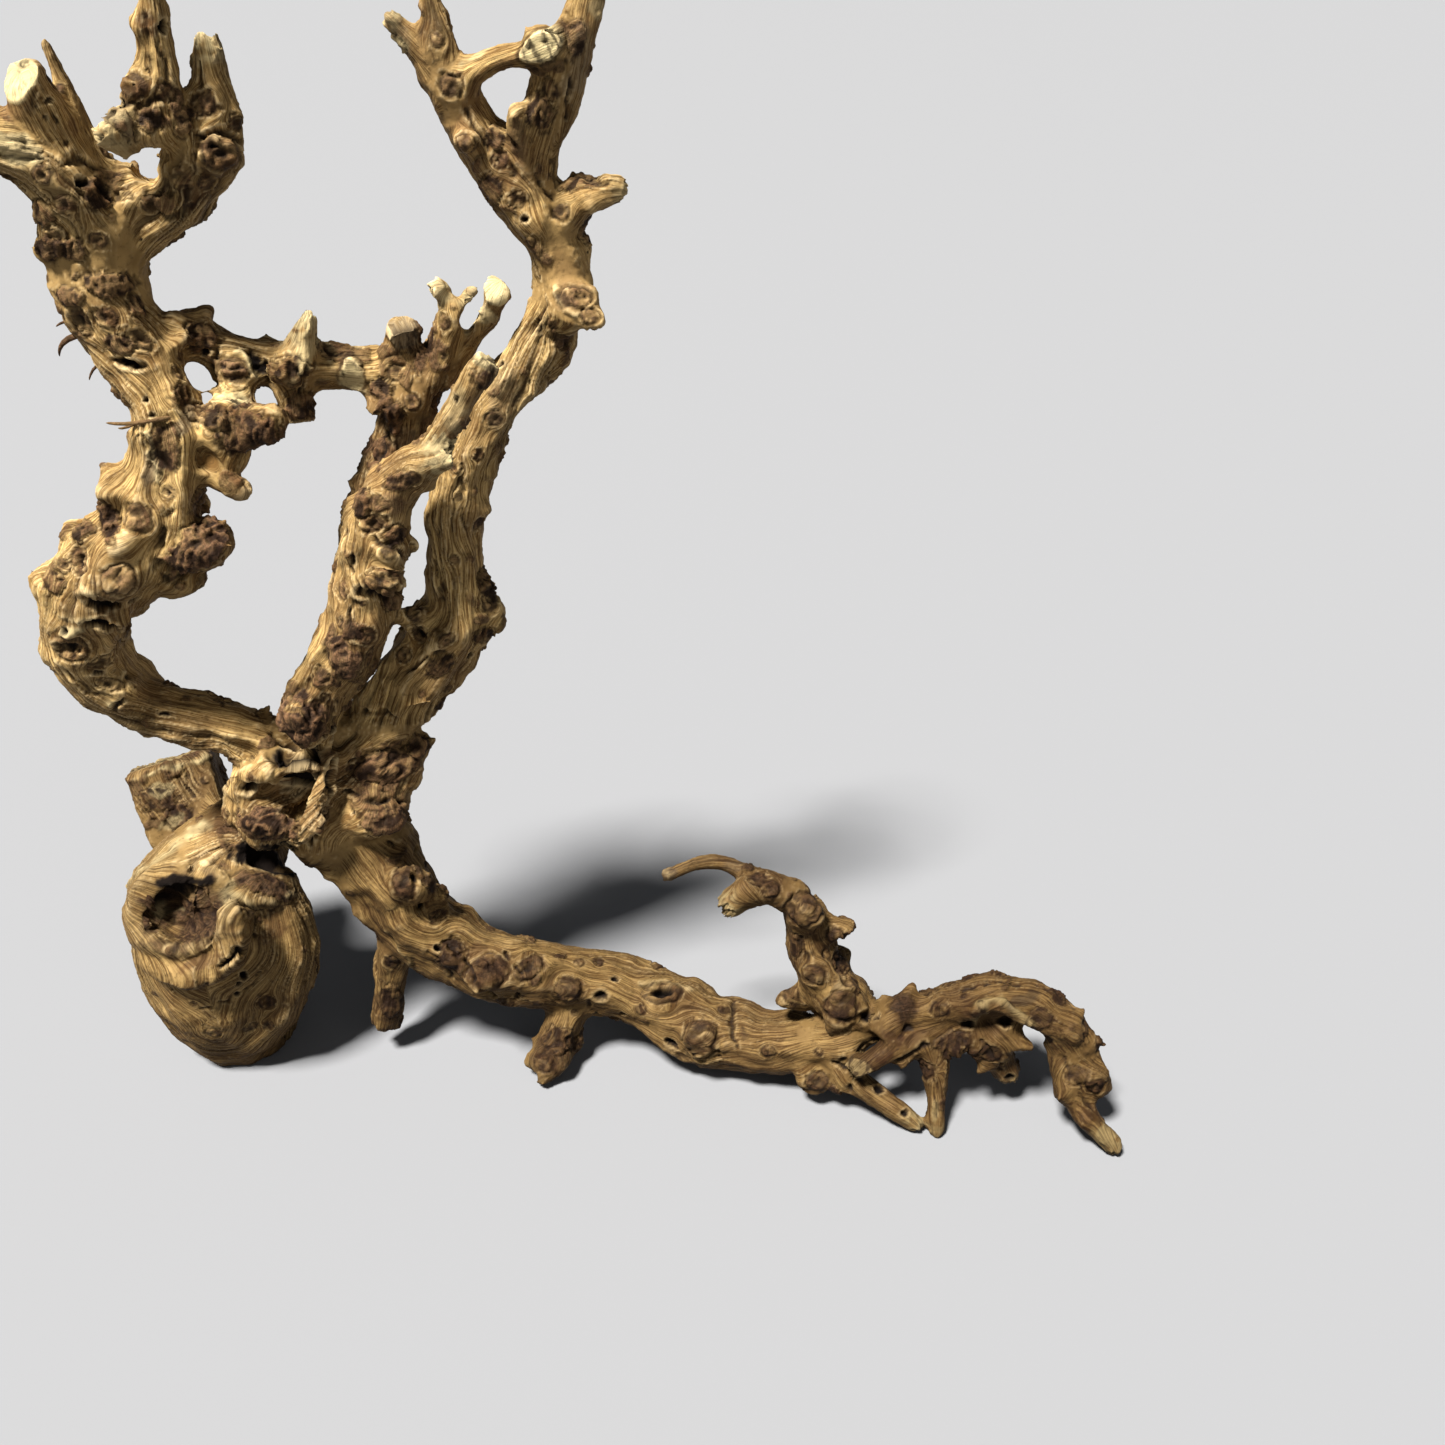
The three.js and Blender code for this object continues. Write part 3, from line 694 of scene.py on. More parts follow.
@dataclass(frozen=True)
class LimbEnd:
    """A torn or sawn end: its middle, the way it points, its radius and how long its pale wood is."""

    place: Place
    heading: Place
    radius: float
    back: float = 5.0
    cut: Cut = Cut.TORN
    pale: float = 1.0
    ragged: float = 1.6

    def press(self, canvas: Canvas) -> None:
        """Puts the broken face on the canvas.

        Args:
            canvas: what it is pressed into.
        """
        centre = placed(self.place)
        ahead = unit(np.array(self.heading, dtype=float))
        found = canvas.near(centre, max(self.back, self.radius) * 1.6 + 2.0)
        offset = canvas.points[found] - centre
        along = offset @ ahead
        aside = offset - np.outer(along, ahead)
        gap = np.linalg.norm(aside, axis=1)
        inside = (gap < self.radius * 1.5 + 1.0) & (along < self.radius * 0.6 + 1.5)
        inside &= canvas.owners[found] == canvas.owner
        found = found[inside]
        along = along[inside]
        aside = aside[inside]
        facing = canvas.normals[found] @ ahead
        noise = canvas.noise
        uneven = noise.at(canvas.points[found], 3.0, 19)
        face = smooth(0.25, 0.75, facing) * smooth(-self.radius * 0.9 - 1.0, -1.0, along)
        if self.cut is Cut.SAWN:
            face = smooth(-0.9, -0.2, along)
        fade = smooth(-self.back, -self.back * 0.2, along + 1.6 * uneven)
        if self.cut is Cut.TORN:
            splinter = 0.8 - 2.6 * np.abs(noise.at(aside, 1.7, 21)) + 0.9 * noise.at(aside, 3.1, 22)
            canvas.shift[found] += np.outer(face * self.ragged * 0.8 * splinter, ahead)
            patchy = smooth(-0.35, 0.25, noise.at(canvas.points[found], 2.2, 24) + 0.2)
            broken = np.maximum(face, 0.7 * fade * patchy)
            canvas.stain("pale", found, self.pale * broken * (0.5 + 0.5 * patchy))
            # Painted shade in the low splinters of a torn end, through the groove mask
            canvas.stain("groove", found, face * smooth(-0.1, 0.6, -splinter))
        else:
            tooth = 0.35 * noise.at(aside, 2.6, 23) - np.maximum(along, 0.0)
            canvas.shift[found] += np.outer(face * tooth, ahead)
            canvas.stain("pale", found, self.pale * face)
            canvas.stain("tone", found, 0.8 * fade * (1.0 - face))
            canvas.settle(found, 0.8 * face)


@dataclass(frozen=True)
class Stub:
    """A short broken side shoot, from the pixel where it leaves the wood to the pixel of its tip."""

    foot: Pixel
    tip: Pixel
    radii: Size
    toward: float = 0.0
    rough: float = 0.35

    def build(self, spot: Spot, camera: PhotoCamera) -> Piece:
        """Models the shoot from a cone.

        Args:
            spot: the place where it leaves the wood.
            camera: the camera whose pixels it is given in.

        Returns:
            The shoot.
        """
        steps = np.array([self.tip[0] - self.foot[0], self.foot[1] - self.tip[1]]) * spot.scale
        reach = np.array([1.0, 0.0, 0.0]) * steps[0] + camera.up() * steps[1] - camera.ahead() * self.toward
        foot = spot.centre - unit(reach) * (self.radii[0] * 0.8)
        return shoot(foot, spot.centre + reach, self.radii, self.rough)


@dataclass(frozen=True)
class Gap:
    """A narrow opening through the wood: its middle and half sizes in pixels, its turn and depth."""

    pixel: Pixel
    size: Size
    turn: float
    depth: float
    reach: float = 22.0

    def build(self, camera: PhotoCamera) -> Piece:
        """Models the opening as a long block, from a cube.

        Args:
            camera: the camera along whose line of sight it runs.

        Returns:
            The block that is cut out.
        """
        start, way = camera.ray(self.pixel)
        centre = start + way * ((self.depth + MIDDLE[1] - start[1]) / way[1])
        scale = float((centre - start) @ camera.ahead()) / camera.focal
        angle = math.radians(self.turn)
        long_way = np.array([math.cos(angle), 0.0, 0.0]) + camera.up() * math.sin(angle)
        short_way = np.cross(way, long_way)
        half_long = long_way * self.size[0] * scale
        half_short = short_way * self.size[1] * scale
        columns = (half_long, half_short, way * self.reach, centre)
        shape = Matrix([[float(column[row]) * MM for column in columns] for row in range(3)]).to_4x4()
        bpy.ops.mesh.primitive_cube_add(size=2.0, location=(0, 0, 0))
        block = bpy.context.active_object
        block.data.transform(shape)
        return block


@dataclass(frozen=True)
class Twig:
    """A thin dry twig or fibre, through places of the working frame, thinner towards its tip."""

    places: tuple[Place, ...]
    radii: Size

    def build(self) -> Piece:
        """Models the twig from a disc that is extruded from place to place.

        Returns:
            The twig.
        """
        route = [placed(place) for place in self.places]
        bpy.ops.object.select_all(action="DESELECT")
        ahead = Vector(route[1] - route[0]).normalized()
        turn = Vector((0, 0, 1)).rotation_difference(ahead).to_euler()
        bpy.ops.mesh.primitive_circle_add(vertices=TWIG_SIDES, radius=self.radii[0] * MM, fill_type="NGON",
                                          location=Vector(route[0]) * MM, rotation=turn)
        twig = bpy.context.active_object
        bpy.ops.object.transform_apply(location=True, rotation=True, scale=True)
        bpy.ops.object.mode_set(mode="EDIT")
        bpy.ops.mesh.select_mode(type="FACE")
        bpy.ops.mesh.select_all(action="SELECT")
        shrink = (self.radii[1] / self.radii[0]) ** (1.0 / (len(route) - 1))
        for first, second in zip(route[:-1], route[1:]):
            step = Vector(second - first) * MM
            bpy.ops.mesh.extrude_region_move(TRANSFORM_OT_translate={"value": step})
            bpy.ops.transform.resize(value=(shrink, shrink, shrink), center_override=Vector(second) * MM)
        bpy.ops.mesh.select_all(action="SELECT")
        bpy.ops.mesh.normals_make_consistent(inside=False)
        bpy.ops.object.mode_set(mode="OBJECT")
        reshape(twig, "SUBSURF", levels=1, render_levels=1)
        for name in ("tone", "bark"):
            layer = twig.data.attributes.new(name, "FLOAT", "POINT")
            layer.data.foreach_set("value", np.full(len(twig.data.vertices), 0.8, dtype=np.float32))
        return twig


def loop(middle: Pixel, size: Size, turn: float) -> tuple[Pixel, ...]:
    """Pixels round an oval.

    Args:
        middle: its middle.
        size: its half sizes.
        turn: how far it is turned anticlockwise, in degrees.

    Returns:
        The pixels, with the first one again at the end.
    """
    lean = math.radians(turn)
    chain = []
    for angle in np.linspace(0.0, 2.0 * math.pi, 17):
        across = size[0] * math.cos(angle)
        above = size[1] * math.sin(angle)
        right = across * math.cos(lean) - above * math.sin(lean)
        chain.append((middle[0] + right, middle[1] - across * math.sin(lean) - above * math.cos(lean)))
    return tuple(chain)


def shoot(foot: Array, tip: Array, radii: Size, rough: float) -> Piece:
    """An uneven tapered shoot, modelled from a cone.

    Args:
        foot: where it starts.
        tip: where it ends.
        radii: its radius at the foot and at the tip.
        rough: how far its points are moved at random.

    Returns:
        The shoot.
    """
    reach = Vector(tip - foot)
    bpy.ops.mesh.primitive_cone_add(vertices=SHOOT_SIDES, radius1=radii[0] * MM, radius2=radii[1] * MM,
                                    depth=reach.length * MM, location=(0, 0, 0))
    piece = bpy.context.active_object
    bpy.ops.object.mode_set(mode="EDIT")
    bpy.ops.mesh.select_all(action="SELECT")
    bpy.ops.mesh.subdivide(number_cuts=2)
    seed = int(abs(foot[0] * 7)) % 97
    bpy.ops.transform.vertex_random(offset=rough * MM, uniform=0.0, normal=0.0, seed=seed)
    bpy.ops.object.mode_set(mode="OBJECT")
    turn = Vector((0, 0, 1)).rotation_difference(reach.normalized()).to_matrix().to_4x4()
    middle = Vector((foot + tip) / 2) * MM
    piece.data.transform(Matrix.Translation(middle) @ turn)
    return piece


@dataclass
class Limb:
    """One named limb of the root, with the line of its grain and the marks on it."""

    node: str
    slot: Slot
    lines: tuple[GrainLine, ...]
    tone: float = 0.3
    crust: float = 0.2
    lumpy: float = 1.0
    red: float = 0.8
    # How much painted shade darkens the limb's colour, given to the low limbs that lie in shade
    dark: float = 0.0
    furrows: float = 1.0
    marks: tuple[Mark, ...] = ()
    cracks: tuple[Crack, ...] = ()
    stubs: tuple[Stub, ...] = ()
    gaps: tuple[Gap, ...] = ()
    ends: tuple[LimbEnd, ...] = ()
    twigs: tuple[Twig, ...] = ()


@dataclass
class RootBurl(Limb):
    """The swollen foot at the left, whose fibres sweep round the hollow in its front."""

    node: str = "root_burl"
    slot: Slot = Slot.OCHRE
    lines: tuple[GrainLine, ...] = (
        GrainLine(((-202, 2, 70, 24), (-199, 5, 46, 25), (-189, 9, 24, 26), (-173, 10, 14, 26),
                   (-158, 8, 24, 26), (-151, 7, 46, 25), (-150, 8, 72, 24)), 0.0),
        GrainLine(((-178, 34, 4, 26), (-182, 36, 30, 28), (-181, 34, 60, 27), (-168, 27, 84, 18)), 0.01),
    )
    tone: float = 0.22
    crust: float = 0.02
    lumpy: float = 0.25
    red: float = 0.3
    dark: float = 0.56
    furrows: float = 0.55
    marks: tuple[Mark, ...] = (
        Swelling((183, 906), (56, 46), 8, 1.8), Pit((182, 909), (45, 39), 8, 6.4, 0.05),
        Stain((183, 912), (42, 37), 8, "bark", 0.9), Scab((186, 916), (32, 26)),
        # The hollow stains in this list paint shadow: the dark top of the hollow and the gap under the hub.
        Stain((180, 880), (34, 7), 8, "hollow", 1.0), Scab((266, 884), (32, 11), -5, 0.6, 0.5, 0.85),
        Pit((264, 860), (34, 12), -3, 5.0), Stain((264, 858), (36, 12), -3, "hollow", 1.0),
        Pit((244, 976), (4, 6), 20, 2.2), Pit((239, 985), (4, 3), 0, 1.8), Pit((237, 994), (4, 3), 10, 1.5),
        Knot((267, 1002), (9, 7), 20, 0.5, 0.8, 0.5), Knot((250, 1027), (8, 5), 10, 0.6, 0.8, 0.4),
        Knot((268, 1025), (7, 5), 30, 0.5, 1.0, 0.4), Knot((213, 1033), (8, 6), 0, 0.6, 0.6, 0.4),
        Swelling((150, 965), (22, 12), -35, 1.2), Swelling((250, 912), (26, 9), 12, 1.0),
        Stain((230, 896), (6, 24), 8, "pale", 0.45), Stain((275, 925), (14, 26), -20, "tone", 0.75),
        Stain((205, 962), (28, 9), 12), Pit((163, 906), (5, 4), 0, 1.6, 0.6),
        Stain((162, 913), (6, 6), 0, "pale"), Swelling((288, 1012), (7, 26), -25, 1.2),
    )
    cracks: tuple[Crack, ...] = (
        Crack(((219, 966), (236, 953), (256, 936)), 1.0, 2.6),
        Crack(loop((182, 908), (51, 44), 8), 2.4, -1.2, 0.12),
        Crack(((200, 1010), (230, 1000), (262, 975)), 0.7, 0.9), Crack(((170, 990), (205, 985)), 0.7, 0.8),
        Crack(((128, 886), (160, 862), (205, 824)), 1.8, -1.0, 0.8),
        Crack(((228, 893), (250, 903), (290, 896)), 1.6, -0.9, 0.7),
        Crack(((296, 1046), (306, 1010), (318, 960)), 1.0, 1.4),
    )


@dataclass
class SawnStub(Limb):
    """The squared end of a limb that was sawn off behind the hub."""

    node: str = "sawn_stub"
    slot: Slot = Slot.SAWN
    lines: tuple[GrainLine, ...] = (
        GrainLine(((-184, 31, 55, 14), (-192, 41, 80, 14), (-200, 51, 100, 14)), 0.0),
    )
    tone: float = 0.7
    crust: float = 0.45
    lumpy: float = 0.25
    dark: float = 0.6
    marks: tuple[Mark, ...] = (
        Scab((160, 800), (18, 14), 0, 0.9, 0.1, 0.6), Scab((180, 815), (12, 14), 0, 0.8, 0.1, 0.7),
        Stain((158, 790), (16, 8), 0, "pale", 0.6), Stain((172, 822), (14, 7), 30, "pale", 0.5),
    )
    cracks: tuple[Crack, ...] = (
        Crack(((135, 778), (172, 766), (207, 758)), 0.9, -0.5, 1.0),
        Crack(((186, 775), (190, 800)), 0.8, 0.8),
    )
    ends: tuple[LimbEnd, ...] = (LimbEnd((-198, 49, 98), (-12, 16, 35), 15, 3, Cut.SAWN, 0.75),)


@dataclass
class KnottedHub(Limb):
    """The gnarled heart, with holes, a deep crack and brown lobes."""

    node: str = "knotted_hub"
    slot: Slot = Slot.BROWN
    lines: tuple[GrainLine, ...] = (
        GrainLine(((-160, 10, 92, 18), (-146, 10, 102, 22), (-130, 10, 112, 22), (-112, 14, 120, 14)), 0.02),
        GrainLine(((-134, 18, 122, 16), (-130, 20, 104, 18), (-124, 20, 92, 15)), 0.0),
    )
    tone: float = 0.45
    crust: float = 0.22
    lumpy: float = 0.7
    furrows: float = 0.8
    marks: tuple[Mark, ...] = (
        Pit((298, 760), (30, 15), 5, 8.0), Pit((254, 787), (15, 8), 12, 5.5),
        # The hollow stains in this list paint shadow in the holes and under the hub's lobes.
        Stain((296, 759), (25, 13), 5, "hollow", 1.0), Stain((254, 787), (11, 6), 12, "hollow", 1.0),
        Scab((266, 825), (28, 19), -10, 1.3, 0.5, 0.8), Scab((384, 824), (24, 14), -28, 0.8, 0.8, 0.6),
        Scab((388, 765), (30, 17), 8, 1.0, 0.7, 0.45), Swelling((398, 765), (34, 18), 8, 1.8, 0.4),
        Swelling((386, 822), (30, 19), -28, 1.6, 0.5), Swelling((360, 722), (34, 12), 35, 1.4),
        Swelling((324, 878), (10, 9), 0, 1.5), Swelling((348, 918), (8, 10), 0, 1.4),
        Knot((404, 881), (13, 17), 0, 1.2, 1.6), Stain((264, 862), (38, 12), 0, "hollow", 1.0),
        Stain((300, 790), (20, 16), 0, "pale", 0.25), Scab((420, 745), (10, 10), 0, 0.8, 0.6, 0.5),
        Stain((385, 800), (36, 14), 5, "bark", 0.8), Pit((331, 728), (6, 4), 40, 2.0),
    )
    cracks: tuple[Crack, ...] = (
        Crack(((334, 760), (332, 785), (325, 812), (309, 842)), 1.0, 3.6),
        Crack(((417, 850), (416, 878), (420, 906)), 0.9, 3.0),
        Crack(((228, 790), (244, 774), (270, 774), (296, 796), (318, 820)), 2.2, -1.6),
        Crack(((345, 792), (372, 801), (400, 800), (425, 812)), 0.9, 1.8),
        Crack(((352, 762), (380, 752), (410, 748)), 0.8, 1.6),
        Crack(((352, 812), (368, 836), (396, 846)), 0.8, 1.6), Crack(((280, 838), (298, 845), (318, 838))),
        Crack(((340, 700), (366, 712), (392, 716)), 0.8, 1.2),
    )
    stubs: tuple[Stub, ...] = (
        Stub((390, 712), (434, 701), (1.9, 1.0), 4.0, 0.2), Stub((424, 742), (436, 736), (3.4, 1.6)),
        Stub((262, 716), (268, 706), (2.0, 0.8)),
    )


@dataclass
class LeftLimb(Limb):
    """Swings out to the left, doubles back and climbs to the left crown."""

    node: str = "left_limb"
    slot: Slot = Slot.OCHRE
    lines: tuple[GrainLine, ...] = (
        GrainLine(((-136, 16, 106, 12), (-140, 15, 112, 12), (-150, 11, 127, 10.5), (-163, 8, 136, 8.8),
                   (-178, 6, 143, 9), (-189, 3, 154, 10.8), (-192, 0, 169, 12.4), (-187, -2, 184, 13.4),
                   (-175, -2, 198, 14.4), (-163, -1, 211, 12.8), (-157, 1, 223, 11.2), (-154, 3, 235, 10.2),
                   (-156, 5, 245, 10.2), (-161, 7, 256, 11.2), (-166, 8, 267, 12.7), (-166, 9, 284, 13.5)),
                   0.014),
    )
    tone: float = 0.2
    crust: float = 0.18
    furrows: float = 0.8
    marks: tuple[Mark, ...] = (
        Knot((169, 493), (8, 7), 0, 0.7, 1.6, 0.5), Knot((182, 394), (11, 10), -20, 0.8, 1.1, 0.9),
        Knot((82, 321), (11, 16), 10, 1.0, 1.8, 0.6), Knot((135, 517), (15, 15), -20, 0.9, 0.3, 0.75),
        Knot((81, 562), (10, 15), 15, 1.4, 2.8, 0.6), Knot((118, 579), (18, 16), 20, 1.3, 0.6, 0.7),
        Knot((70, 646), (20, 15), 20, 1.5, 2.6, 0.5), Knot((104, 661), (20, 8), 12, 1.0, 1.0, 0.3),
        Knot((108, 684), (14, 7), -15, 0.9, 1.4, 0.3), Pit((127, 364), (18, 6), -15, 3.4),
        Scab((165, 448), (15, 24), -12, 0.8, 0.75, 0.45), Scab((199, 548), (40, 21), 42, 1.2, 0.75, 0.75),
        Scab((247, 436), (32, 25), -15, 1.1, 0.2), Scab((212, 418), (12, 14), 0, 1.3, 0.3, 0.8),
        Knot((202, 412), (13, 12), 30, 1.3, 1.0, 0.5), Scab((110, 520), (11, 20), 8, 1.4, 0.5, 0.75),
        Scab((52, 575), (12, 18), 20, 1.1, 0.3, 0.6), Knot((64, 566), (9, 8), 0, 0.9, 1.4, 0.5),
        Scab((82, 530), (13, 11), 20, 1.2, 0.4, 0.7), Scab((112, 285), (30, 12), -10, 1.2, 0.3, 0.75),
        Scab((72, 296), (16, 11), -10, 1.1, 0.3, 0.7), Scab((138, 306), (14, 11), 0, 1.1, 0.4, 0.7),
        Knot((106, 318), (13, 10), 0, 1.1, 1.3), Knot((140, 340), (14, 9), -20, 1.0, 1.0, 0.7),
        Scab((118, 345), (16, 10), -15, 1.0, 0.4, 0.7), Stain((165, 448), (14, 22), 0, "knot"),
        Pit((146, 400), (4, 3), 0, 1.6, 0.7), Pit((152, 415), (6, 3), 0, 1.4, 0.7),
        Knot((177, 372), (9, 7), 0, 0.7, 0.8), Stain((150, 470), (8, 26), -12, "grey"),
        Stain((185, 420), (8, 22), -20, "grey"), Swelling((118, 545), (26, 14), 30, 1.5),
        Pit((133, 600), (7, 5), 0, 2.0, 0.6), Pit((64, 632), (7, 4), 30, 2.6),
        Stain((72, 632), (14, 5), 20, "pale"), Pit((165, 714), (8, 2.4), -5, 1.5, 0.9),
        Pit((98, 672), (7, 3), -25, 1.8, 0.8), Knot((95, 455), (6, 6), 0, 0.8, 0.8),
        Swelling((60, 600), (16, 22), 0, 1.2),
    )
    cracks: tuple[Crack, ...] = (
        Crack(((84, 604), (98, 608), (112, 606)), 1.5, 3.4),
        Crack(((88, 625), (112, 629), (138, 625)), 1.4, 3.2),
        Crack(((113, 712), (121, 700), (128, 677)), 0.9, 1.8),
        Crack(((110, 705), (124, 672)), 1.1, -0.9, 0.9),
        Crack(((148, 437), (150, 458), (160, 478)), 0.9, -1.0, 0.6),
        Crack(((172, 512), (160, 540), (158, 566)), 0.9, 1.3),
        Crack(((86, 592), (112, 598), (138, 592)), 1.3, -1.0, 0.3),
        Crack(((166, 577), (196, 572), (228, 548)), 0.9, 1.4),
        Crack(((58, 662), (84, 672), (108, 672)), 1.0, -0.8, 0.3),
        Crack(((60, 616), (80, 622), (104, 616)), 0.9, -0.8, 0.4),
        Crack(((66, 670), (90, 690), (116, 700)), 0.8, 1.0),
        Crack(((120, 400), (134, 420), (142, 440)), 0.8, 1.0),
    )
    stubs: tuple[Stub, ...] = (
        Stub((84, 530), (88, 508), (4.2, 1.3), 0.0, 0.6), Stub((222, 548), (237, 544), (3.4, 1.2)),
        Stub((108, 470), (100, 462), (2.6, 1.0)), Stub((110, 492), (98, 486), (3.0, 1.2), 0.0, 0.5),
        Stub((126, 405), (117, 403), (1.0, 0.5), 0.0, 0.2),
        Stub((44, 583), (30, 572), (4.0, 2.0), 0.0, 0.5),
        Stub((262, 425), (280, 412), (4.0, 2.2), 0.0, 0.6),
    )
    twigs: tuple[Twig, ...] = (
        Twig(((-149, -5, 241), (-155, -7, 240.4), (-162, -7, 239.4), (-167.5, -6.5, 239.8)), (0.8, 0.5)),
        Twig(((-157, -2, 240), (-163, -5, 237.5), (-165, -5, 237.8)), (0.6, 0.35)),
        Twig(((-170, 2, 262), (-176, 1, 260.6), (-178, 0, 258.2), (-178.4, 0, 256)), (1.1, 0.7)),
        Twig(((-168, 3, 254), (-171.5, 2, 252), (-172.5, 1, 249)), (0.6, 0.35)),
        Twig(((-158, -2, 233), (-161.5, -4, 229), (-161, -5, 226)), (0.6, 0.35)),
        Twig(((-171, 4, 265), (-176, 2, 265), (-178, 1, 263.6)), (0.6, 0.35)),
    )


@dataclass
class MiddleLimb(Limb):
    """The shortest upright limb, bent over at its elbow."""

    node: str = "middle_limb"
    slot: Slot = Slot.BROWN
    lines: tuple[GrainLine, ...] = (
        GrainLine(((-134, 8, 128, 8.2), (-126, 8, 149, 10.3), (-116, 9, 164, 10.8), (-109, 10, 179, 11.3),
                   (-105, 10, 194, 10.3), (-101, 10, 207, 9.3), (-94, 8, 218, 7.8), (-84, 4, 225, 5.8),
                   (-76, 1, 228, 3.8)), 0.016),
        GrainLine(((-92, 8, 212, 5.4), (-86, 6, 221, 5), (-74, 4, 239, 4.6), (-63, 2, 256, 4.8)), 0.01),
    )
    tone: float = 0.42
    crust: float = 0.28
    furrows: float = 0.85
    marks: tuple[Mark, ...] = (
        Knot((389, 552), (8, 7), 0, 0.8, 1.2, 0.7), Knot((381, 579), (20, 10), 12, 1.6, 1.8, 0.6),
        Knot((341, 622), (8, 7), 0, 0.8, 1.6), Knot((367, 636), (9, 9), 0, 0.8),
        Scab((340, 664), (18, 25), 15, 0.9, 0.85, 0.4), Scab((298, 728), (25, 24), 0, 1.1, 0.6, 0.75),
        Knot((283, 713), (11, 10), 0, 0.9, 0.6, 0.9), Knot((312, 712), (12, 10), 0, 0.9, 0.6, 0.9),
        Knot((372, 523), (15, 10), 25, 1.3, 1.4, 0.6), Scab((396, 535), (12, 12), 0, 1.3, 0.3, 0.8),
        Scab((360, 500), (14, 18), 0, 1.2, 0.35, 0.75), Knot((378, 504), (10, 9), 0, 0.9, 0.9, 0.9),
        Scab((395, 600), (13, 14), 0, 1.1, 0.35, 0.7), Pit((352, 560), (4, 8), -10, 1.8, 0.8),
        Knot((344, 590), (8, 10), 0, 0.7, 1.0), Scab((352, 632), (10, 9), 0, 0.8, 0.4, 0.6),
        Stain((395, 505), (10, 16), 0, "knot"), Scab((400, 482), (16, 10), 20, 0.9, 0.5, 0.6),
        Knot((412, 478), (9, 8), 0, 0.8, 0.9), Pit((330, 545), (4, 7), 0, 1.6, 0.7),
        Knot((322, 676), (8, 8), 0, 0.8, 0.9), Swelling((388, 566), (18, 18)),
        Pit((456, 400), (3, 6), -25, 1.0, 0.6), Stain((455, 410), (10, 30), -28, "pale", 0.3),
    )
    cracks: tuple[Crack, ...] = (
        Crack(((362, 590), (384, 596), (402, 588)), 1.1, 2.4),
        Crack(((345, 530), (346, 552), (352, 574)), 0.8, 1.3),
        Crack(((356, 600), (350, 620), (356, 640)), 0.8, 1.5),
        Crack(((300, 690), (318, 672), (328, 650)), 0.8, 1.0),
        Crack(((374, 540), (392, 545), (404, 556)), 0.9, 1.8),
        Crack(((276, 738), (296, 750), (318, 744)), 1.0, 1.6),
    )
    stubs: tuple[Stub, ...] = (
        Stub((410, 545), (419, 549), (2.6, 1.2)), Stub((352, 500), (342, 494), (2.6, 1.0), 0.0, 0.5),
        Stub((354, 484), (345, 478), (2.2, 0.9), 0.0, 0.5), Stub((392, 590), (402, 583), (2.4, 1.0)),
        Stub((445, 460), (452, 470), (2.4, 1.2)),
    )
    ends: tuple[LimbEnd, ...] = (
        LimbEnd((-64, 2, 254), (10, -2, 15), 4.8, 3, Cut.SAWN, 0.75),
        LimbEnd((-78, 1, 227), (6, -3, 2), 4.2, 7, Cut.TORN, 1.0, 1.3),
    )


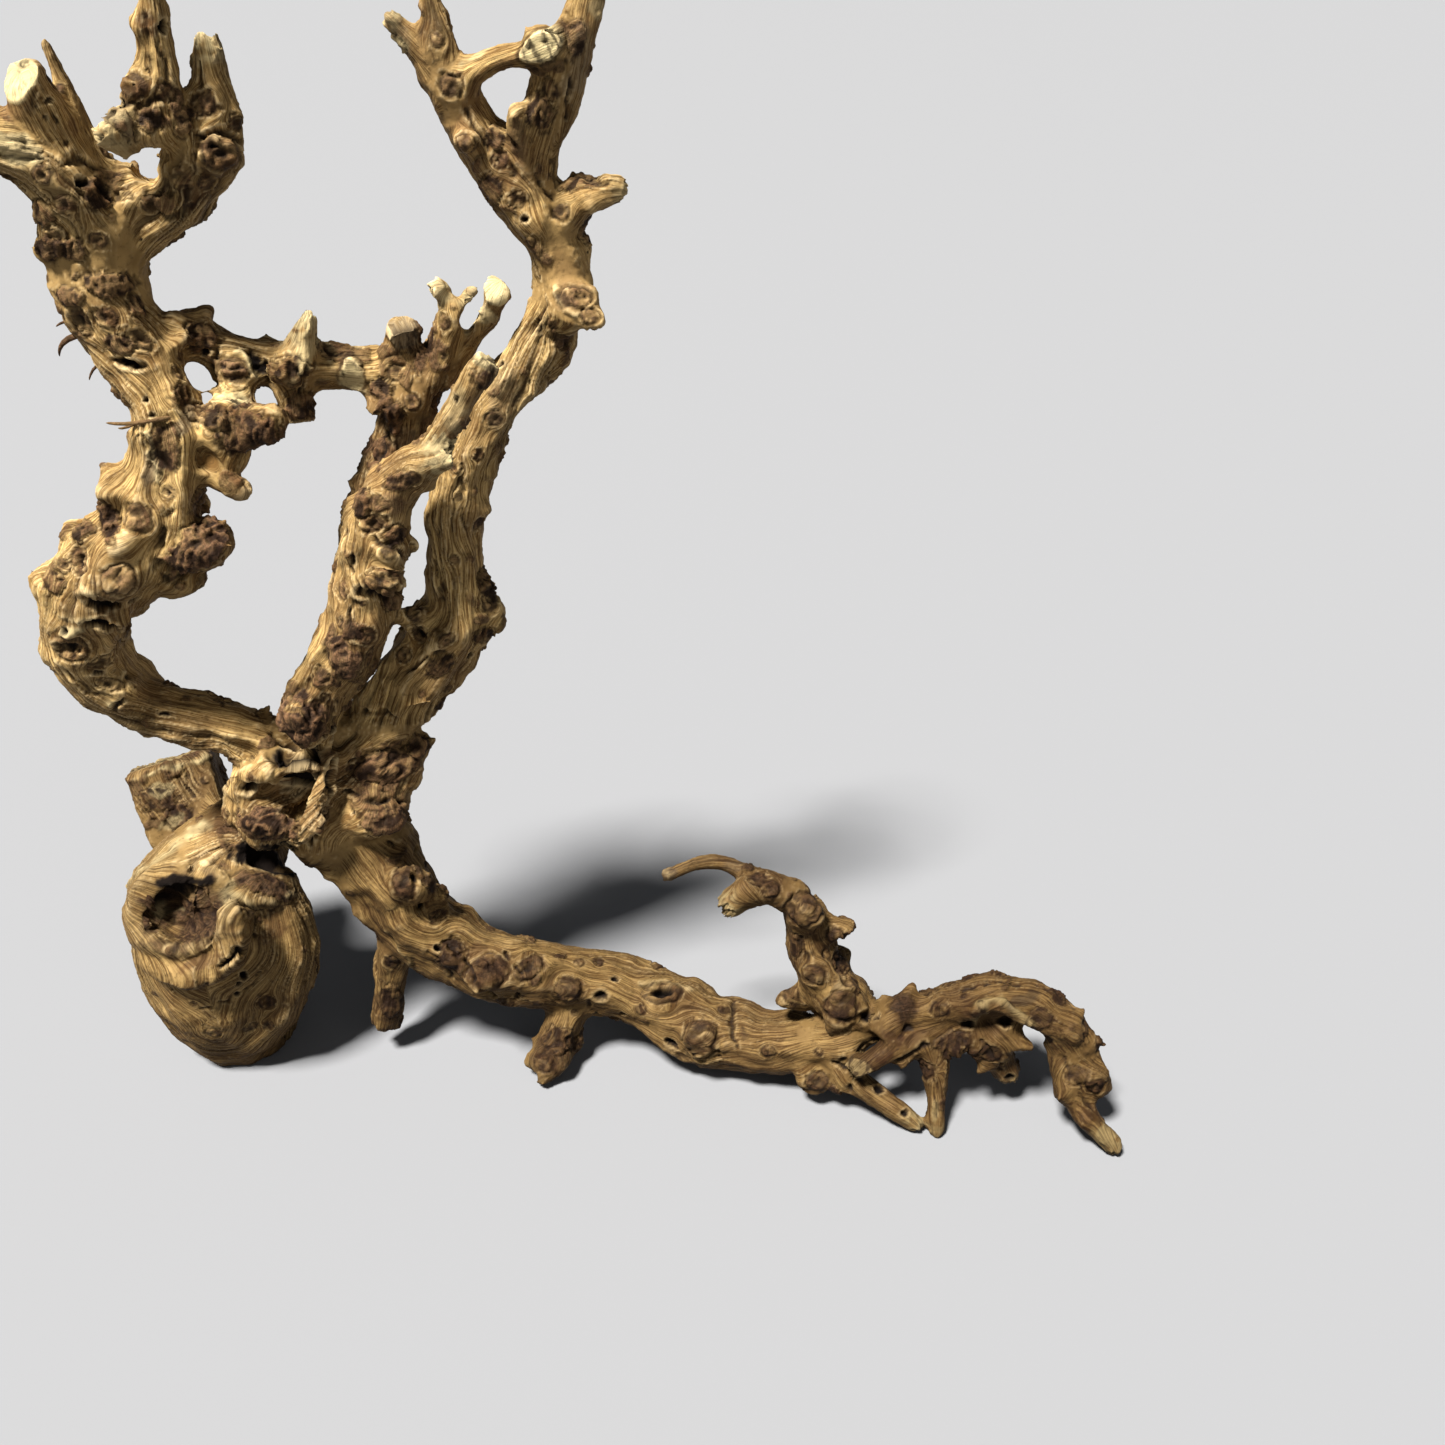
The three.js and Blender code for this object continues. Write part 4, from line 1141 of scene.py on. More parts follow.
@dataclass
class RightLimb(Limb):
    """Climbs in a long curve to the right crown."""

    node: str = "right_limb"
    slot: Slot = Slot.OCHRE
    lines: tuple[GrainLine, ...] = (
        GrainLine(((-124, 18, 112, 11), (-116, 20, 122, 11), (-108, 21, 136, 11.8), (-99, 22, 148, 12),
                   (-90, 24, 158, 12.6), (-84, 25, 169, 11), (-83, 26, 180, 8.8), (-83, 26, 193, 9.2), (-82,
                   26, 205, 10.2), (-76, 26, 219, 9), (-67, 26, 235, 8.3), (-57, 27, 246, 8.3), (-48, 28,
                   257, 8.3), (-45, 28, 268, 7.8), (-46, 28, 284, 8.8)), 0.012),
    )
    tone: float = 0.28
    crust: float = 0.14
    red: float = 0.6
    furrows: float = 0.8
    marks: tuple[Mark, ...] = (
        Knot((421, 634), (7, 9), 0, 0.9, 2.6, 0.6), Knot((414, 612), (8, 9), 0, 1.2, 0.8, 0.7),
        Scab((488, 588), (11, 16), 10, 1.4, 0.6, 0.6), Knot((489, 600), (9, 13), 0, 1.2, 1.2, 0.7),
        Scab((482, 634), (12, 12), 0, 1.2, 0.5, 0.6), Knot((477, 523), (8, 8), 0, 1.0, 0.8),
        Knot((455, 468), (7, 6), 0, 0.8, 0.9), Knot((458, 497), (4, 4), 0, 0.5),
        Scab((440, 668), (16, 10), 30, 0.9, 0.4, 0.6), SawnFace((487, 361), (14, 10), -10, 0.6, 0.5, 0.6),
        Stain((502, 400), (16, 36), -30, "grey", 0.4), Knot((577, 297), (17, 12), 10, 1.3),
        Knot((590, 316), (10, 8), 0, 1.0, 0.9), Stain((580, 300), (24, 20), 0, "knot", 0.5),
        Knot((494, 418), (9, 8), 0, 0.8, 0.8, 0.7), Pit((540, 330), (4, 7), -30, 1.3, 0.7),
        Knot((478, 455), (6, 6), 0, 0.7, 0.8), Scab((490, 378), (16, 10), 30, 0.9, 0.35, 0.6),
        Knot((446, 640), (9, 7), 20, 0.8, 1.0), Pit((470, 655), (6, 4), 30, 1.6, 0.8),
        Swelling((470, 640), (18, 18), 0, 1.4), Pit((500, 364), (5, 3), 20, 1.5, 0.9),
        Knot((404, 655), (8, 8)),
    )
    cracks: tuple[Crack, ...] = (
        Crack(((432, 560), (440, 590), (438, 620)), 0.8, 1.2),
        Crack(((520, 350), (534, 330), (545, 305)), 0.8, 1.1),
        Crack(((463, 470), (460, 500), (466, 530)), 0.7, 1.0),
        Crack(((404, 668), (424, 660), (446, 652)), 0.9, 1.5),
        Crack(((556, 288), (566, 310), (586, 328)), 0.9, -0.9, 0.3),
    )
    stubs: tuple[Stub, ...] = (
        Stub((480, 512), (492, 507), (2.2, 0.9)), Stub((482, 590), (498, 584), (3.0, 1.4)),
        Stub((592, 322), (605, 327), (3.0, 1.4)), Stub((418, 616), (410, 607), (2.8, 1.4)),
        Stub((452, 690), (455, 697), (1.8, 0.7)), Stub((496, 605), (502, 612), (2.0, 0.9)),
        Stub((528, 388), (534, 396), (1.8, 0.8)), Stub((488, 474), (496, 476), (1.8, 0.8)),
        Stub((430, 640), (424, 650), (2.2, 1.0)),
    )


@dataclass
class RearStem(Limb):
    """A short stem behind the middle limb, crowded with broken stubs."""

    node: str = "rear_stem"
    slot: Slot = Slot.BROWN
    lines: tuple[GrainLine, ...] = (
        GrainLine(((-111, 15, 186, 6.4), (-108, 23, 199, 7.6), (-102, 27, 213, 8.4), (-94, 28, 228, 8.8),
                   (-90, 27, 241, 8.4), (-80, 26, 245, 6)), 0.012),
        GrainLine(((-91, 26, 238, 7), (-90, 24, 250, 5.6), (-89, 22, 262, 5.6)), 0.0),
        GrainLine(((-84, 25, 242, 7), (-78, 24, 256, 5.6), (-76, 22, 268, 6)), 0.0),
        GrainLine(((-76, 25, 244, 5), (-68, 24, 256, 4.6), (-62, 24, 271, 4.6)), 0.0),
    )
    tone: float = 0.62
    crust: float = 0.4
    red: float = 0.6
    marks: tuple[Mark, ...] = (
        Knot((412, 403), (9, 9), 0, 0.9, 1.0, 0.9), Scab((392, 420), (14, 16), 0, 1.2, 0.35, 0.85),
        Scab((386, 455), (13, 18), -10, 1.1, 0.3, 0.8), Knot((396, 372), (10, 9), 0, 1.0),
        Scab((430, 340), (14, 12), 0, 1.0, 0.4, 0.7), Knot((444, 322), (8, 8), 0, 0.8, 0.9, 0.7),
        Scab((380, 388), (12, 11), 0, 1.2, 0.3, 0.8), Stain((404, 440), (12, 14), 0, "grey", 0.6),
        Stain((470, 328), (10, 16), -20, "pale", 0.5), SawnFace((402, 334), (15, 19), 12, 0.5, 0.1, 0.9),
        Stain((402, 322), (16, 12), 12, "grey", 0.8), Swelling((438, 288), (13, 11), 0, 1.7),
        Swelling((468, 294), (10, 9), 0, 1.4), Swelling((500, 292), (17, 17), 0, 2.4, 0.2),
        Swelling((491, 318), (12, 18), -30, 1.8, 0.2),
    )
    cracks: tuple[Crack, ...] = (
        Crack(((376, 410), (384, 430), (380, 456)), 0.9, 1.8), Crack(((410, 350), (420, 372)), 0.8, 1.4),
    )
    stubs: tuple[Stub, ...] = (
        Stub((412, 402), (415, 374), (3.4, 2.6), 4.0), Stub((486, 284), (493, 271), (2.6, 1.0), 0.0, 0.5),
        Stub((436, 290), (434, 279), (2.4, 1.2), 0.0, 0.6),
        Stub((470, 292), (481, 300), (2.4, 1.2), 0.0, 0.6),
        Stub((372, 410), (364, 404), (2.2, 1.0), 0.0, 0.5),
    )
    gaps: tuple[Gap, ...] = (Gap((480, 290), (20, 6.4), 78, 24), Gap((471, 314), (16, 6.4), 58, 24))
    ends: tuple[LimbEnd, ...] = (
        LimbEnd((-90, 23, 259), (0, -3, 8), 5.6, 4, Cut.SAWN, 0.1),
        LimbEnd((-78, 21, 270), (-3, -1, 4), 6, 6, Cut.TORN, 1.0, 1.8),
        LimbEnd((-70, 21, 266), (5, -1, 2), 4, 4, Cut.TORN, 0.8, 1.2),
        LimbEnd((-63, 23, 269), (4, -7, 6), 6, 4, Cut.SAWN),
    )


@dataclass
class BridgeLimb(Limb):
    """Crosses from the left limb to the rear stem."""

    node: str = "bridge_limb"
    slot: Slot = Slot.BROWN
    lines: tuple[GrainLine, ...] = (
        GrainLine(((-164, 10, 256, 7), (-148, 16, 257, 6.8), (-137, 18, 250, 6.3), (-124, 20, 248, 6.8),
                   (-110, 24, 246, 6.8), (-92, 27, 241, 7.2)), 0.02),
        GrainLine(((-122, 19, 250, 5), (-121, 16, 242, 5), (-121, 15, 232, 5)), 0.0),
        GrainLine(((-120, 19, 246, 5), (-117, 18, 255, 4.4), (-114, 17, 265, 4)), 0.0),
    )
    tone: float = 0.52
    crust: float = 0.32
    marks: tuple[Mark, ...] = (
        Scab((234, 370), (15, 10), -10, 0.8, 0.95, 0.3), Knot((234, 370), (18, 13), -10, 0.9, 0.2, 0.4),
        Stain((232, 398), (20, 12), 20, "pale", 0.85), Scab((228, 404), (16, 9), 20, 1.2, 0.0, 0.1),
        Scab((200, 335), (18, 12), -15, 1.2, 0.3, 0.75), Scab((293, 375), (20, 14), 0, 1.3, 0.25, 0.6),
        SawnFace((352, 378), (12, 15), 15, 0.3, 0.8), Pit((358, 348), (6, 4), 0, 2.2),
        Scab((334, 352), (18, 9), 0, 0.9, 0.5, 0.7), Scab((300, 405), (14, 14), 0, 1.0, 0.25, 0.8),
        Stain((270, 336), (30, 6), -8, "pale", 0.55), Stain((310, 350), (10, 30), -20, "pale", 0.6),
        Pit((205, 352), (6, 4), 0, 1.8), Pit((262, 366), (5, 9), -30, 2.4),
    )
    cracks: tuple[Crack, ...] = (
        Crack(((252, 352), (260, 366), (270, 384)), 1.1, 2.6),
        Crack(((214, 350), (210, 366), (214, 384)), 0.8, 1.6),
        Crack(((298, 372), (304, 386), (300, 398)), 0.8, 1.6),
        Crack(((238, 352), (254, 362), (250, 392)), 1.0, -1.0, 0.9),
        Crack(((330, 362), (344, 386), (364, 392)), 0.9, -0.8, 0.7),
    )
    stubs: tuple[Stub, ...] = (
        Stub((206, 318), (210, 306), (1.8, 0.7), 0.0, 0.4),
        Stub((182, 338), (172, 350), (2.6, 1.2), 0.0, 0.5),
        Stub((232, 398), (229, 409), (3.2, 2.0), 0.0, 0.7),
        Stub((246, 396), (252, 404), (2.6, 1.4), 0.0, 0.7),
        Stub((218, 392), (208, 388), (2.2, 1.0), 0.0, 0.6),
        Stub((306, 330), (300, 318), (2.0, 1.0), 0.0, 0.5),
        Stub((268, 338), (264, 331), (1.6, 0.7), 0.0, 0.4),
    )
    ends: tuple[LimbEnd, ...] = (
        LimbEnd((-121, 15, 233), (0, -2, -9), 5, 4, Cut.SAWN, 0.4),
        LimbEnd((-114, 17, 263), (2, 0, 9), 4.5, 14, Cut.TORN, 0.9),
    )


@dataclass
class LeftCrown(Limb):
    """The outer fork of the left limb, with a thick pale prong, a sawn prong and a thin dry prong."""

    node: str = "left_crown"
    slot: Slot = Slot.OCHRE
    lines: tuple[GrainLine, ...] = (
        GrainLine(((-166, 9, 272, 12), (-166, 6, 289, 12.7), (-167, 3, 299, 10.7), (-173, 0, 307, 9),
                   (-181, -3, 310, 8.8), (-192, -7, 314, 7.4)), 0.012),
        GrainLine(((-164, 4, 296, 7), (-164, 2, 303, 6.6), (-166, -2, 315, 5.8), (-168, -6, 329, 5.6)), 0.0),
        GrainLine(((-158, 8, 296, 4), (-162, 7, 316, 2.5), (-164, 7, 323, 2.4), (-166, 7, 332, 1.6)), 0.0),
    )
    tone: float = 0.02
    crust: float = 0.08
    red: float = 0.6
    furrows: float = 0.85
    marks: tuple[Mark, ...] = (
        Knot((41, 175), (9, 10), 0, 0.8, 1.8, 0.9), Pit((83, 182), (8, 6), 0, 2.6),
        Knot((64, 205), (11, 9), 20, 0.8, 1.0, 0.7), Scab((40, 214), (13, 12), 0, 0.9, 0.8, 0.5),
        Scab((100, 193), (18, 15), 0, 1.7, 0.2), Pit((103, 191), (12, 9), 0, 2.6, 0.8),
        Stain((14, 150), (26, 16), -35, "pale"), Stain((72, 130), (10, 18), 0, "tone", 0.8),
        Knot((52, 236), (9, 8), 0, 0.9, 1.0), Scab((70, 250), (16, 10), 0, 1.0, 0.3, 0.7),
        Scab((46, 250), (12, 12), 0, 1.2, 0.3, 0.7), Knot((60, 88), (5, 5), 0, 0.6, 0.5),
        Knot((98, 240), (10, 8), 0, 0.8, 1.2, 0.7), Pit((50, 100), (3, 7), -28, 1.0, 0.7),
    )
    cracks: tuple[Crack, ...] = (
        Crack(((20, 140), (40, 160), (56, 178)), 0.8, 1.0),
        Crack(((44, 100), (58, 126), (66, 146)), 0.8, 1.4),
        Crack(((32, 96), (44, 120), (52, 140)), 0.6, 0.9),
        Crack(((64, 164), (84, 160), (100, 168)), 0.9, 1.4),
    )
    stubs: tuple[Stub, ...] = (
        Stub((36, 246), (28, 252), (2.8, 1.4), 0.0, 0.6), Stub((62, 90), (54, 84), (1.6, 0.8)),
        Stub((38, 214), (30, 216), (2.0, 1.0)),
    )
    ends: tuple[LimbEnd, ...] = (
        LimbEnd((-190, -6, 313), (-9, -3, 3), 7.4, 6, Cut.SAWN, 0.7),
        LimbEnd((-167.6, -5, 326), (-35, -75, 55), 7.5, 5, Cut.SAWN),
    )


@dataclass
class CrownFork(Limb):
    """The inner fork of the left limb, with a knobbed mass, a tall spike and a pale broken prong."""

    node: str = "crown_fork"
    slot: Slot = Slot.BROWN
    lines: tuple[GrainLine, ...] = (
        GrainLine(((-166, 10, 276, 10), (-161, 11, 283, 10), (-151, 12, 292, 11.7), (-139, 14, 299, 10.2),
                   (-131, 13, 307, 8.6), (-129, 12, 318, 6), (-128, 11, 333, 3.6)), 0.015),
        GrainLine(((-138, 12, 304, 8), (-142, 5, 316, 8), (-138, 3, 328, 5.8), (-136, 2, 340, 4),
                   (-135, 2, 352, 2)), 0.0),
    )
    tone: float = 0.08
    crust: float = 0.14
    red: float = 0.6
    marks: tuple[Mark, ...] = (
        Pit((165, 26), (8, 6), 20, 2.4), Knot((131, 85), (14, 13), 0, 1.3, 0.5),
        Scab((118, 116), (15, 11), -20, 1.4, 0.7, 0.6), Scab((150, 118), (13, 12), 0, 1.4, 0.2, 0.8),
        Knot((220, 153), (21, 17), -10, 1.6, 1.8, 0.7), Knot((204, 104), (13, 11), 0, 1.1, 1.0),
        Knot((235, 122), (8, 8), 0, 0.9, 0.6), Scab((186, 120), (10, 14), 0, 1.0, 0.3, 0.6),
        Knot((183, 176), (12, 10), 10, 0.9, 1.0, 0.6), Scab((168, 205), (12, 12), 0, 0.9, 0.5, 0.6),
        Knot((150, 205), (8, 8), 0, 0.8), Stain((160, 56), (16, 22), 0, "worn_and_highlit", 0.5),
        Stain((112, 147), (16, 8), 20, "tone", 0.3), Stain((146, 24), (12, 14), 0, "tone", 0.9),
        Stain((196, 196), (18, 14), 40), Knot((166, 92), (10, 9), 0, 1.0, 0.9, 0.7),
        Pit((147, 150), (7, 6), 0, 2.4), Knot((206, 182), (9, 7), 30, 0.8, 0.8),
        Stain((216, 160), (14, 10), 0, "bark", 0.6), Pit((214, 146), (6, 3), 0, 1.8),
    )
    cracks: tuple[Crack, ...] = (
        Crack(((146, 15), (150, 45), (148, 72)), 0.7, 1.0),
        Crack(((160, 40), (163, 64), (168, 84)), 0.7, 1.1),
        Crack(((200, 136), (220, 130), (238, 140)), 1.0, 1.8),
        Crack(((118, 98), (140, 104), (160, 100)), 0.9, 1.8), Crack(((198, 60), (200, 84)), 0.6, 0.9),
        Crack(((166, 224), (190, 210), (206, 190)), 0.7, 1.0),
    )
    stubs: tuple[Stub, ...] = (
        Stub((138, 28), (129, 15), (2.6, 1.4), 0.0, 0.4), Stub((236, 118), (245, 117), (2.6, 1.4)),
        Stub((216, 44), (221, 52), (2.0, 1.0)), Stub((198, 44), (195, 38), (1.8, 1.0)),
        Stub((114, 128), (102, 140), (4.0, 2.4), 2.0, 0.5), Stub((238, 136), (244, 142), (2.2, 1.1)),
        Stub((160, 168), (158, 176), (1.8, 0.9)),
    )
    gaps: tuple[Gap, ...] = (Gap((148, 168), (13, 10), 80, 12, 24),)
    ends: tuple[LimbEnd, ...] = (
        LimbEnd((-128, 11, 331), (0, -1, 9), 4.5, 7, Cut.TORN, 0.9, 1.8),
        LimbEnd((-135, 2, 350), (1, 0, 10), 4, 8, Cut.TORN, 0.4, 0.5),
        LimbEnd((-150, -6, 312), (-11, -8, 2), 5, 7, Cut.TORN, 0.6),
    )


@dataclass
class RightCrown(Limb):
    """The forks of the right limb, with an arched link, sawn faces and a hooked knob."""

    node: str = "right_crown"
    slot: Slot = Slot.OCHRE
    lines: tuple[GrainLine, ...] = (
        GrainLine(((-46, 28, 270, 8), (-50, 28, 287, 10.7), (-56, 27, 296, 9.8), (-62, 26, 304, 8.4),
                   (-67, 24, 312, 6.8), (-71, 23, 321, 6.4), (-76, 22, 327, 4.2), (-80, 21, 331, 3.4), (-85,
                   20, 337, 2.8)), 0.012),
        GrainLine(((-70, 22, 318, 5), (-72, 21, 332, 4), (-74, 20, 351, 2)), 0.0),
        GrainLine(((-71, 22, 318, 5), (-64, 21, 324, 4), (-57, 19, 327, 3.6), (-49, 18, 328, 4),
                   (-41, 20, 331, 5)), 0.02),
        GrainLine(((-50, 28, 288, 8), (-52, 27, 296, 7.6), (-46, 24, 312, 7), (-43, 23, 323, 6)), 0.0),
        GrainLine(((-43, 22, 306, 3), (-42, 23, 316, 4.8), (-40, 23, 324, 6), (-37, 24, 333, 5.8),
                   (-31, 24, 351, 3)), 0.0),
        GrainLine(((-48, 28, 282, 7), (-44, 27, 287, 6.4), (-39, 25, 292, 6.4), (-34, 23, 295, 4.8),
                   (-26, 22, 294, 3.8)), 0.0),
    )
    tone: float = 0.42
    crust: float = 0.2
    red: float = 0.5
    furrows: float = 0.75
    marks: tuple[Mark, ...] = (
        Knot((464, 141), (9, 8), 0, 1.1), Pit((525, 219), (5, 4), 30, 2.0),
        Scab((578, 180), (22, 12), -8, 0.9, 0.75, 0.4), Scab((540, 112), (14, 20), 20, 0.9, 0.4, 0.8),
        Swelling((518, 138), (8, 26), -4, 1.4, 0.9), Stain((518, 136), (8, 28), -4, "knot", 1.0),
        Knot((500, 160), (9, 8), 0, 0.8, 1.0), Scab((495, 135), (8, 14), 0, 1.0, 0.3, 0.6),
        Knot((450, 85), (12, 11), 0, 1.0, 0.8, 0.6), SawnFace((541, 47), (24, 14), 30),
        Knot((556, 28), (9, 8), 0, 1.0, 0.4, 0.6), Scab((576, 40), (10, 18), -15, 0.9, 0.2, 0.6),
        Stain((580, 60), (14, 40), -18, "grey", 0.55), Stain((597, 8), (12, 10), 0, "pale", 0.35),
        Knot((437, 40), (7, 7), 0, 0.9, 0.4, 0.6), Stain((400, 40), (10, 20), 30, "grey", 0.4),
        Scab((490, 190), (12, 14), -30, 0.9, 0.5, 0.6), Knot((516, 200), (9, 8), 0, 0.8, 0.8, 0.7),
        Scab((550, 90), (9, 12), 0, 0.9, 0.5, 0.5), Knot((562, 212), (9, 8), 0, 0.8, 1.0, 0.6),
        Stain((510, 60), (26, 6), 30), Pit((592, 176), (6, 3), 20, 1.6),
        Stain((470, 110), (12, 30), -20, "tone", 0.65), Stain((392, 10), (12, 14), 0, "bark"),
        Scab((399, 44), (11, 8), 0, 0.8, 0.0, 0.1), Stain((399, 44), (12, 9), 0, "pale"),
        Stain((480, 46), (24, 5), 25, "pale", 0.5),
    )
    cracks: tuple[Crack, ...] = (
        Crack(((560, 180), (584, 176), (606, 182)), 0.9, 1.6),
        Crack(((566, 60), (572, 90), (566, 118)), 0.8, 1.4),
        Crack(((500, 110), (512, 140), (512, 172)), 0.8, 1.3),
        Crack(((534, 176), (550, 196), (556, 214)), 0.8, 1.2),
        Crack(((462, 96), (474, 124), (490, 150)), 0.8, 1.1),
        Crack(((528, 52), (546, 42), (556, 44)), 0.7, 0.9),
    )
    stubs: tuple[Stub, ...] = (
        Stub((464, 142), (456, 137), (2.8, 1.6)), Stub((528, 34), (524, 25), (1.8, 0.8), 0.0, 0.4),
        Stub((516, 112), (514, 101), (2.4, 1.0)), Stub((612, 182), (626, 181), (2.8, 1.6)),
        Stub((590, 204), (590, 214), (2.6, 1.4)), Stub((572, 174), (572, 166), (2.2, 1.1)),
        Stub((496, 126), (491, 120), (1.8, 0.9)), Stub((430, 52), (428, 60), (2.0, 1.2)),
        Stub((476, 196), (470, 190), (1.8, 0.8)),
    )
    ends: tuple[LimbEnd, ...] = (
        LimbEnd((-84, 20, 336), (-5, -1, 5), 3.4, 5, Cut.TORN, 0.6, 1.0),
        LimbEnd((-27, 22, 294), (7, -1, -1), 4, 3, Cut.TORN, 0.5, 1.0),
    )


@dataclass
class LowLimb(Limb):
    """Leaves the hub to the right and runs along the ground, with a hanging stub and a knobby foot."""

    node: str = "low_limb"
    slot: Slot = Slot.OCHRE
    lines: tuple[GrainLine, ...] = (
        GrainLine(((-136, 20, 104, 16), (-128, 18, 92, 16), (-118, 16, 75, 16.5), (-111, 12, 58, 15.2),
                   (-99, 9, 47, 13.8), (-83, 7, 39, 13.3), (-65, 7, 33, 12.8), (-45, 8, 28, 11.6), (-26, 6,
                   23, 11.8), (-9, -1, 15, 13), (6, -4, 14, 12.2), (22, -9, 16, 11.8), (36, -14, 20, 10),
                   (50, -14, 24, 8)), 0.012),
        GrainLine(((-110, 11, 56, 9.4), (-114, 8, 40, 8.4), (-122, 5, 9, 6.2)), 0.0),
        GrainLine(((-52, 5, 26, 8.4), (-58, 0, 14, 7.4), (-65, -9, 2, 6.4)), 0.0),
        GrainLine(((32, -14, 20, 7.4), (50, -26, 10, 5.5), (67, -36, 2, 3.4)), 0.0),
    )
    tone: float = 0.25
    crust: float = 0.06
    red: float = 0.2
    lumpy: float = 0.8
    dark: float = 0.78
    furrows: float = 0.4
    marks: tuple[Mark, ...] = (
        Knot((487, 972), (20, 16), 10, 1.4, 0.9, 0.7), Scab((452, 962), (16, 14), 0, 0.9, 0.4, 0.5),
        Knot((452, 948), (11, 9), 0, 1.0, 1.4, 0.6), Knot((568, 989), (14, 13), 0, 1.2, 0.9, 0.75),
        Knot((529, 968), (18, 10), 40, 1.1, 1.6, 0.7), Pit((600, 996), (8, 6), 0, 2.8),
        Knot((598, 962), (6, 5), 0, 0.6, 1.4), Pit((615, 979), (5, 3), 0, 1.8),
        Pit((663, 993), (13, 6), 8, 4.0), Knot((663, 993), (20, 12), 8, 0.9, 0.0, 0.15),
        Pit((672, 1043), (9, 4), -32, 2.6), Knot((699, 1031), (17, 14), 0, 1.4, 0.8, 0.7),
        Swelling((699, 1031), (26, 20), 0, 1.2), Knot((424, 872), (9, 12), 20, 0.8),
        Scab((432, 884), (8, 10), 0, 0.8, 0.5, 0.6), Stain((470, 965), (42, 24), -10, "tone", 0.75),
        Pit((438, 948), (5, 4), 0, 2.4), Knot((392, 962), (8, 9), 0, 0.8, 0.8, 0.6),
        Scab((392, 1000), (12, 22), 8, 0.8, 0.15, 0.7), Stain((392, 1005), (16, 26), 8, "bark", 0.6),
        Knot((545, 1062), (12, 11), 0, 1.3, 0.9, 0.6), Scab((556, 1040), (16, 14), 0, 1.1, 0.3, 0.7),
        Stain((550, 1055), (26, 24), 0, "bark", 0.6), Knot((640, 1010), (6, 5), 0, 0.6, 0.8),
        Knot((579, 962), (5, 4), 0, 0.5, 0.9), Knot((724, 1010), (7, 6), 0, 0.6, 0.7),
        Swelling((745, 1015), (12, 24), 0, 1.2), Knot((817, 1082), (12, 10), 0, 1.2, 1.4, 0.6),
        Pit((880, 1089), (7, 5), 10, 2.2), Swelling((850, 1056), (14, 12), 0, 1.4),
        Stain((750, 1040), (50, 30), 0, "tone", 0.5), Pit((905, 1113), (6, 4), 30, 2.0),
        Knot((505, 1003), (9, 6), -20), Knot((438, 915), (10, 7), 30, 0.9, 1.0, 0.7),
        Pit((622, 1014), (5, 3), 30, 1.4, 0.8), Knot((768, 1052), (8, 6), 0, 0.7, 0.8),
    )
    cracks: tuple[Crack, ...] = (
        Crack(((430, 952), (446, 968), (452, 990)), 0.8, 1.6),
        Crack(((466, 960), (474, 980), (494, 996)), 0.8, 1.8),
        Crack(((508, 952), (520, 972), (516, 996)), 0.8, 1.6),
        Crack(((385, 930), (400, 945), (412, 966)), 1.0, -1.0, 0.5),
        Crack(((640, 986), (662, 980), (690, 990)), 1.0, -0.9, 0.4),
        Crack(((680, 1056), (700, 1060), (722, 1054)), 0.8, 1.2),
        Crack(((736, 1002), (732, 1024), (736, 1050)), 0.9, 1.4),
        Crack(((375, 960), (380, 990), (378, 1015)), 0.8, 1.2),
        Crack(((590, 1002), (600, 1016), (606, 1030)), 0.8, 1.3),
        Crack(((834, 1062), (852, 1070), (850, 1090)), 0.9, 1.8),
    )
    stubs: tuple[Stub, ...] = (
        Stub((532, 1060), (526, 1068), (2.6, 1.4)), Stub((580, 1050), (589, 1046), (2.6, 1.2)),
        Stub((528, 1038), (522, 1034), (2.0, 1.0)), Stub((404, 940), (412, 936), (1.8, 0.9)),
        Stub((548, 1074), (540, 1082), (2.8, 1.6), 2.0, 0.5), Stub((838, 1086), (838, 1096), (2.8, 1.5)),
        Stub((806, 1074), (802, 1084), (2.8, 1.6)),
    )
    ends: tuple[LimbEnd, ...] = (
        LimbEnd((-122, 5, 11), (-3, -1, -9), 6.2, 3, Cut.SAWN, 0.25),
        LimbEnd((66, -35, 3), (8, -6, -4), 4, 6, Cut.TORN, 0.8, 1.2),
    )


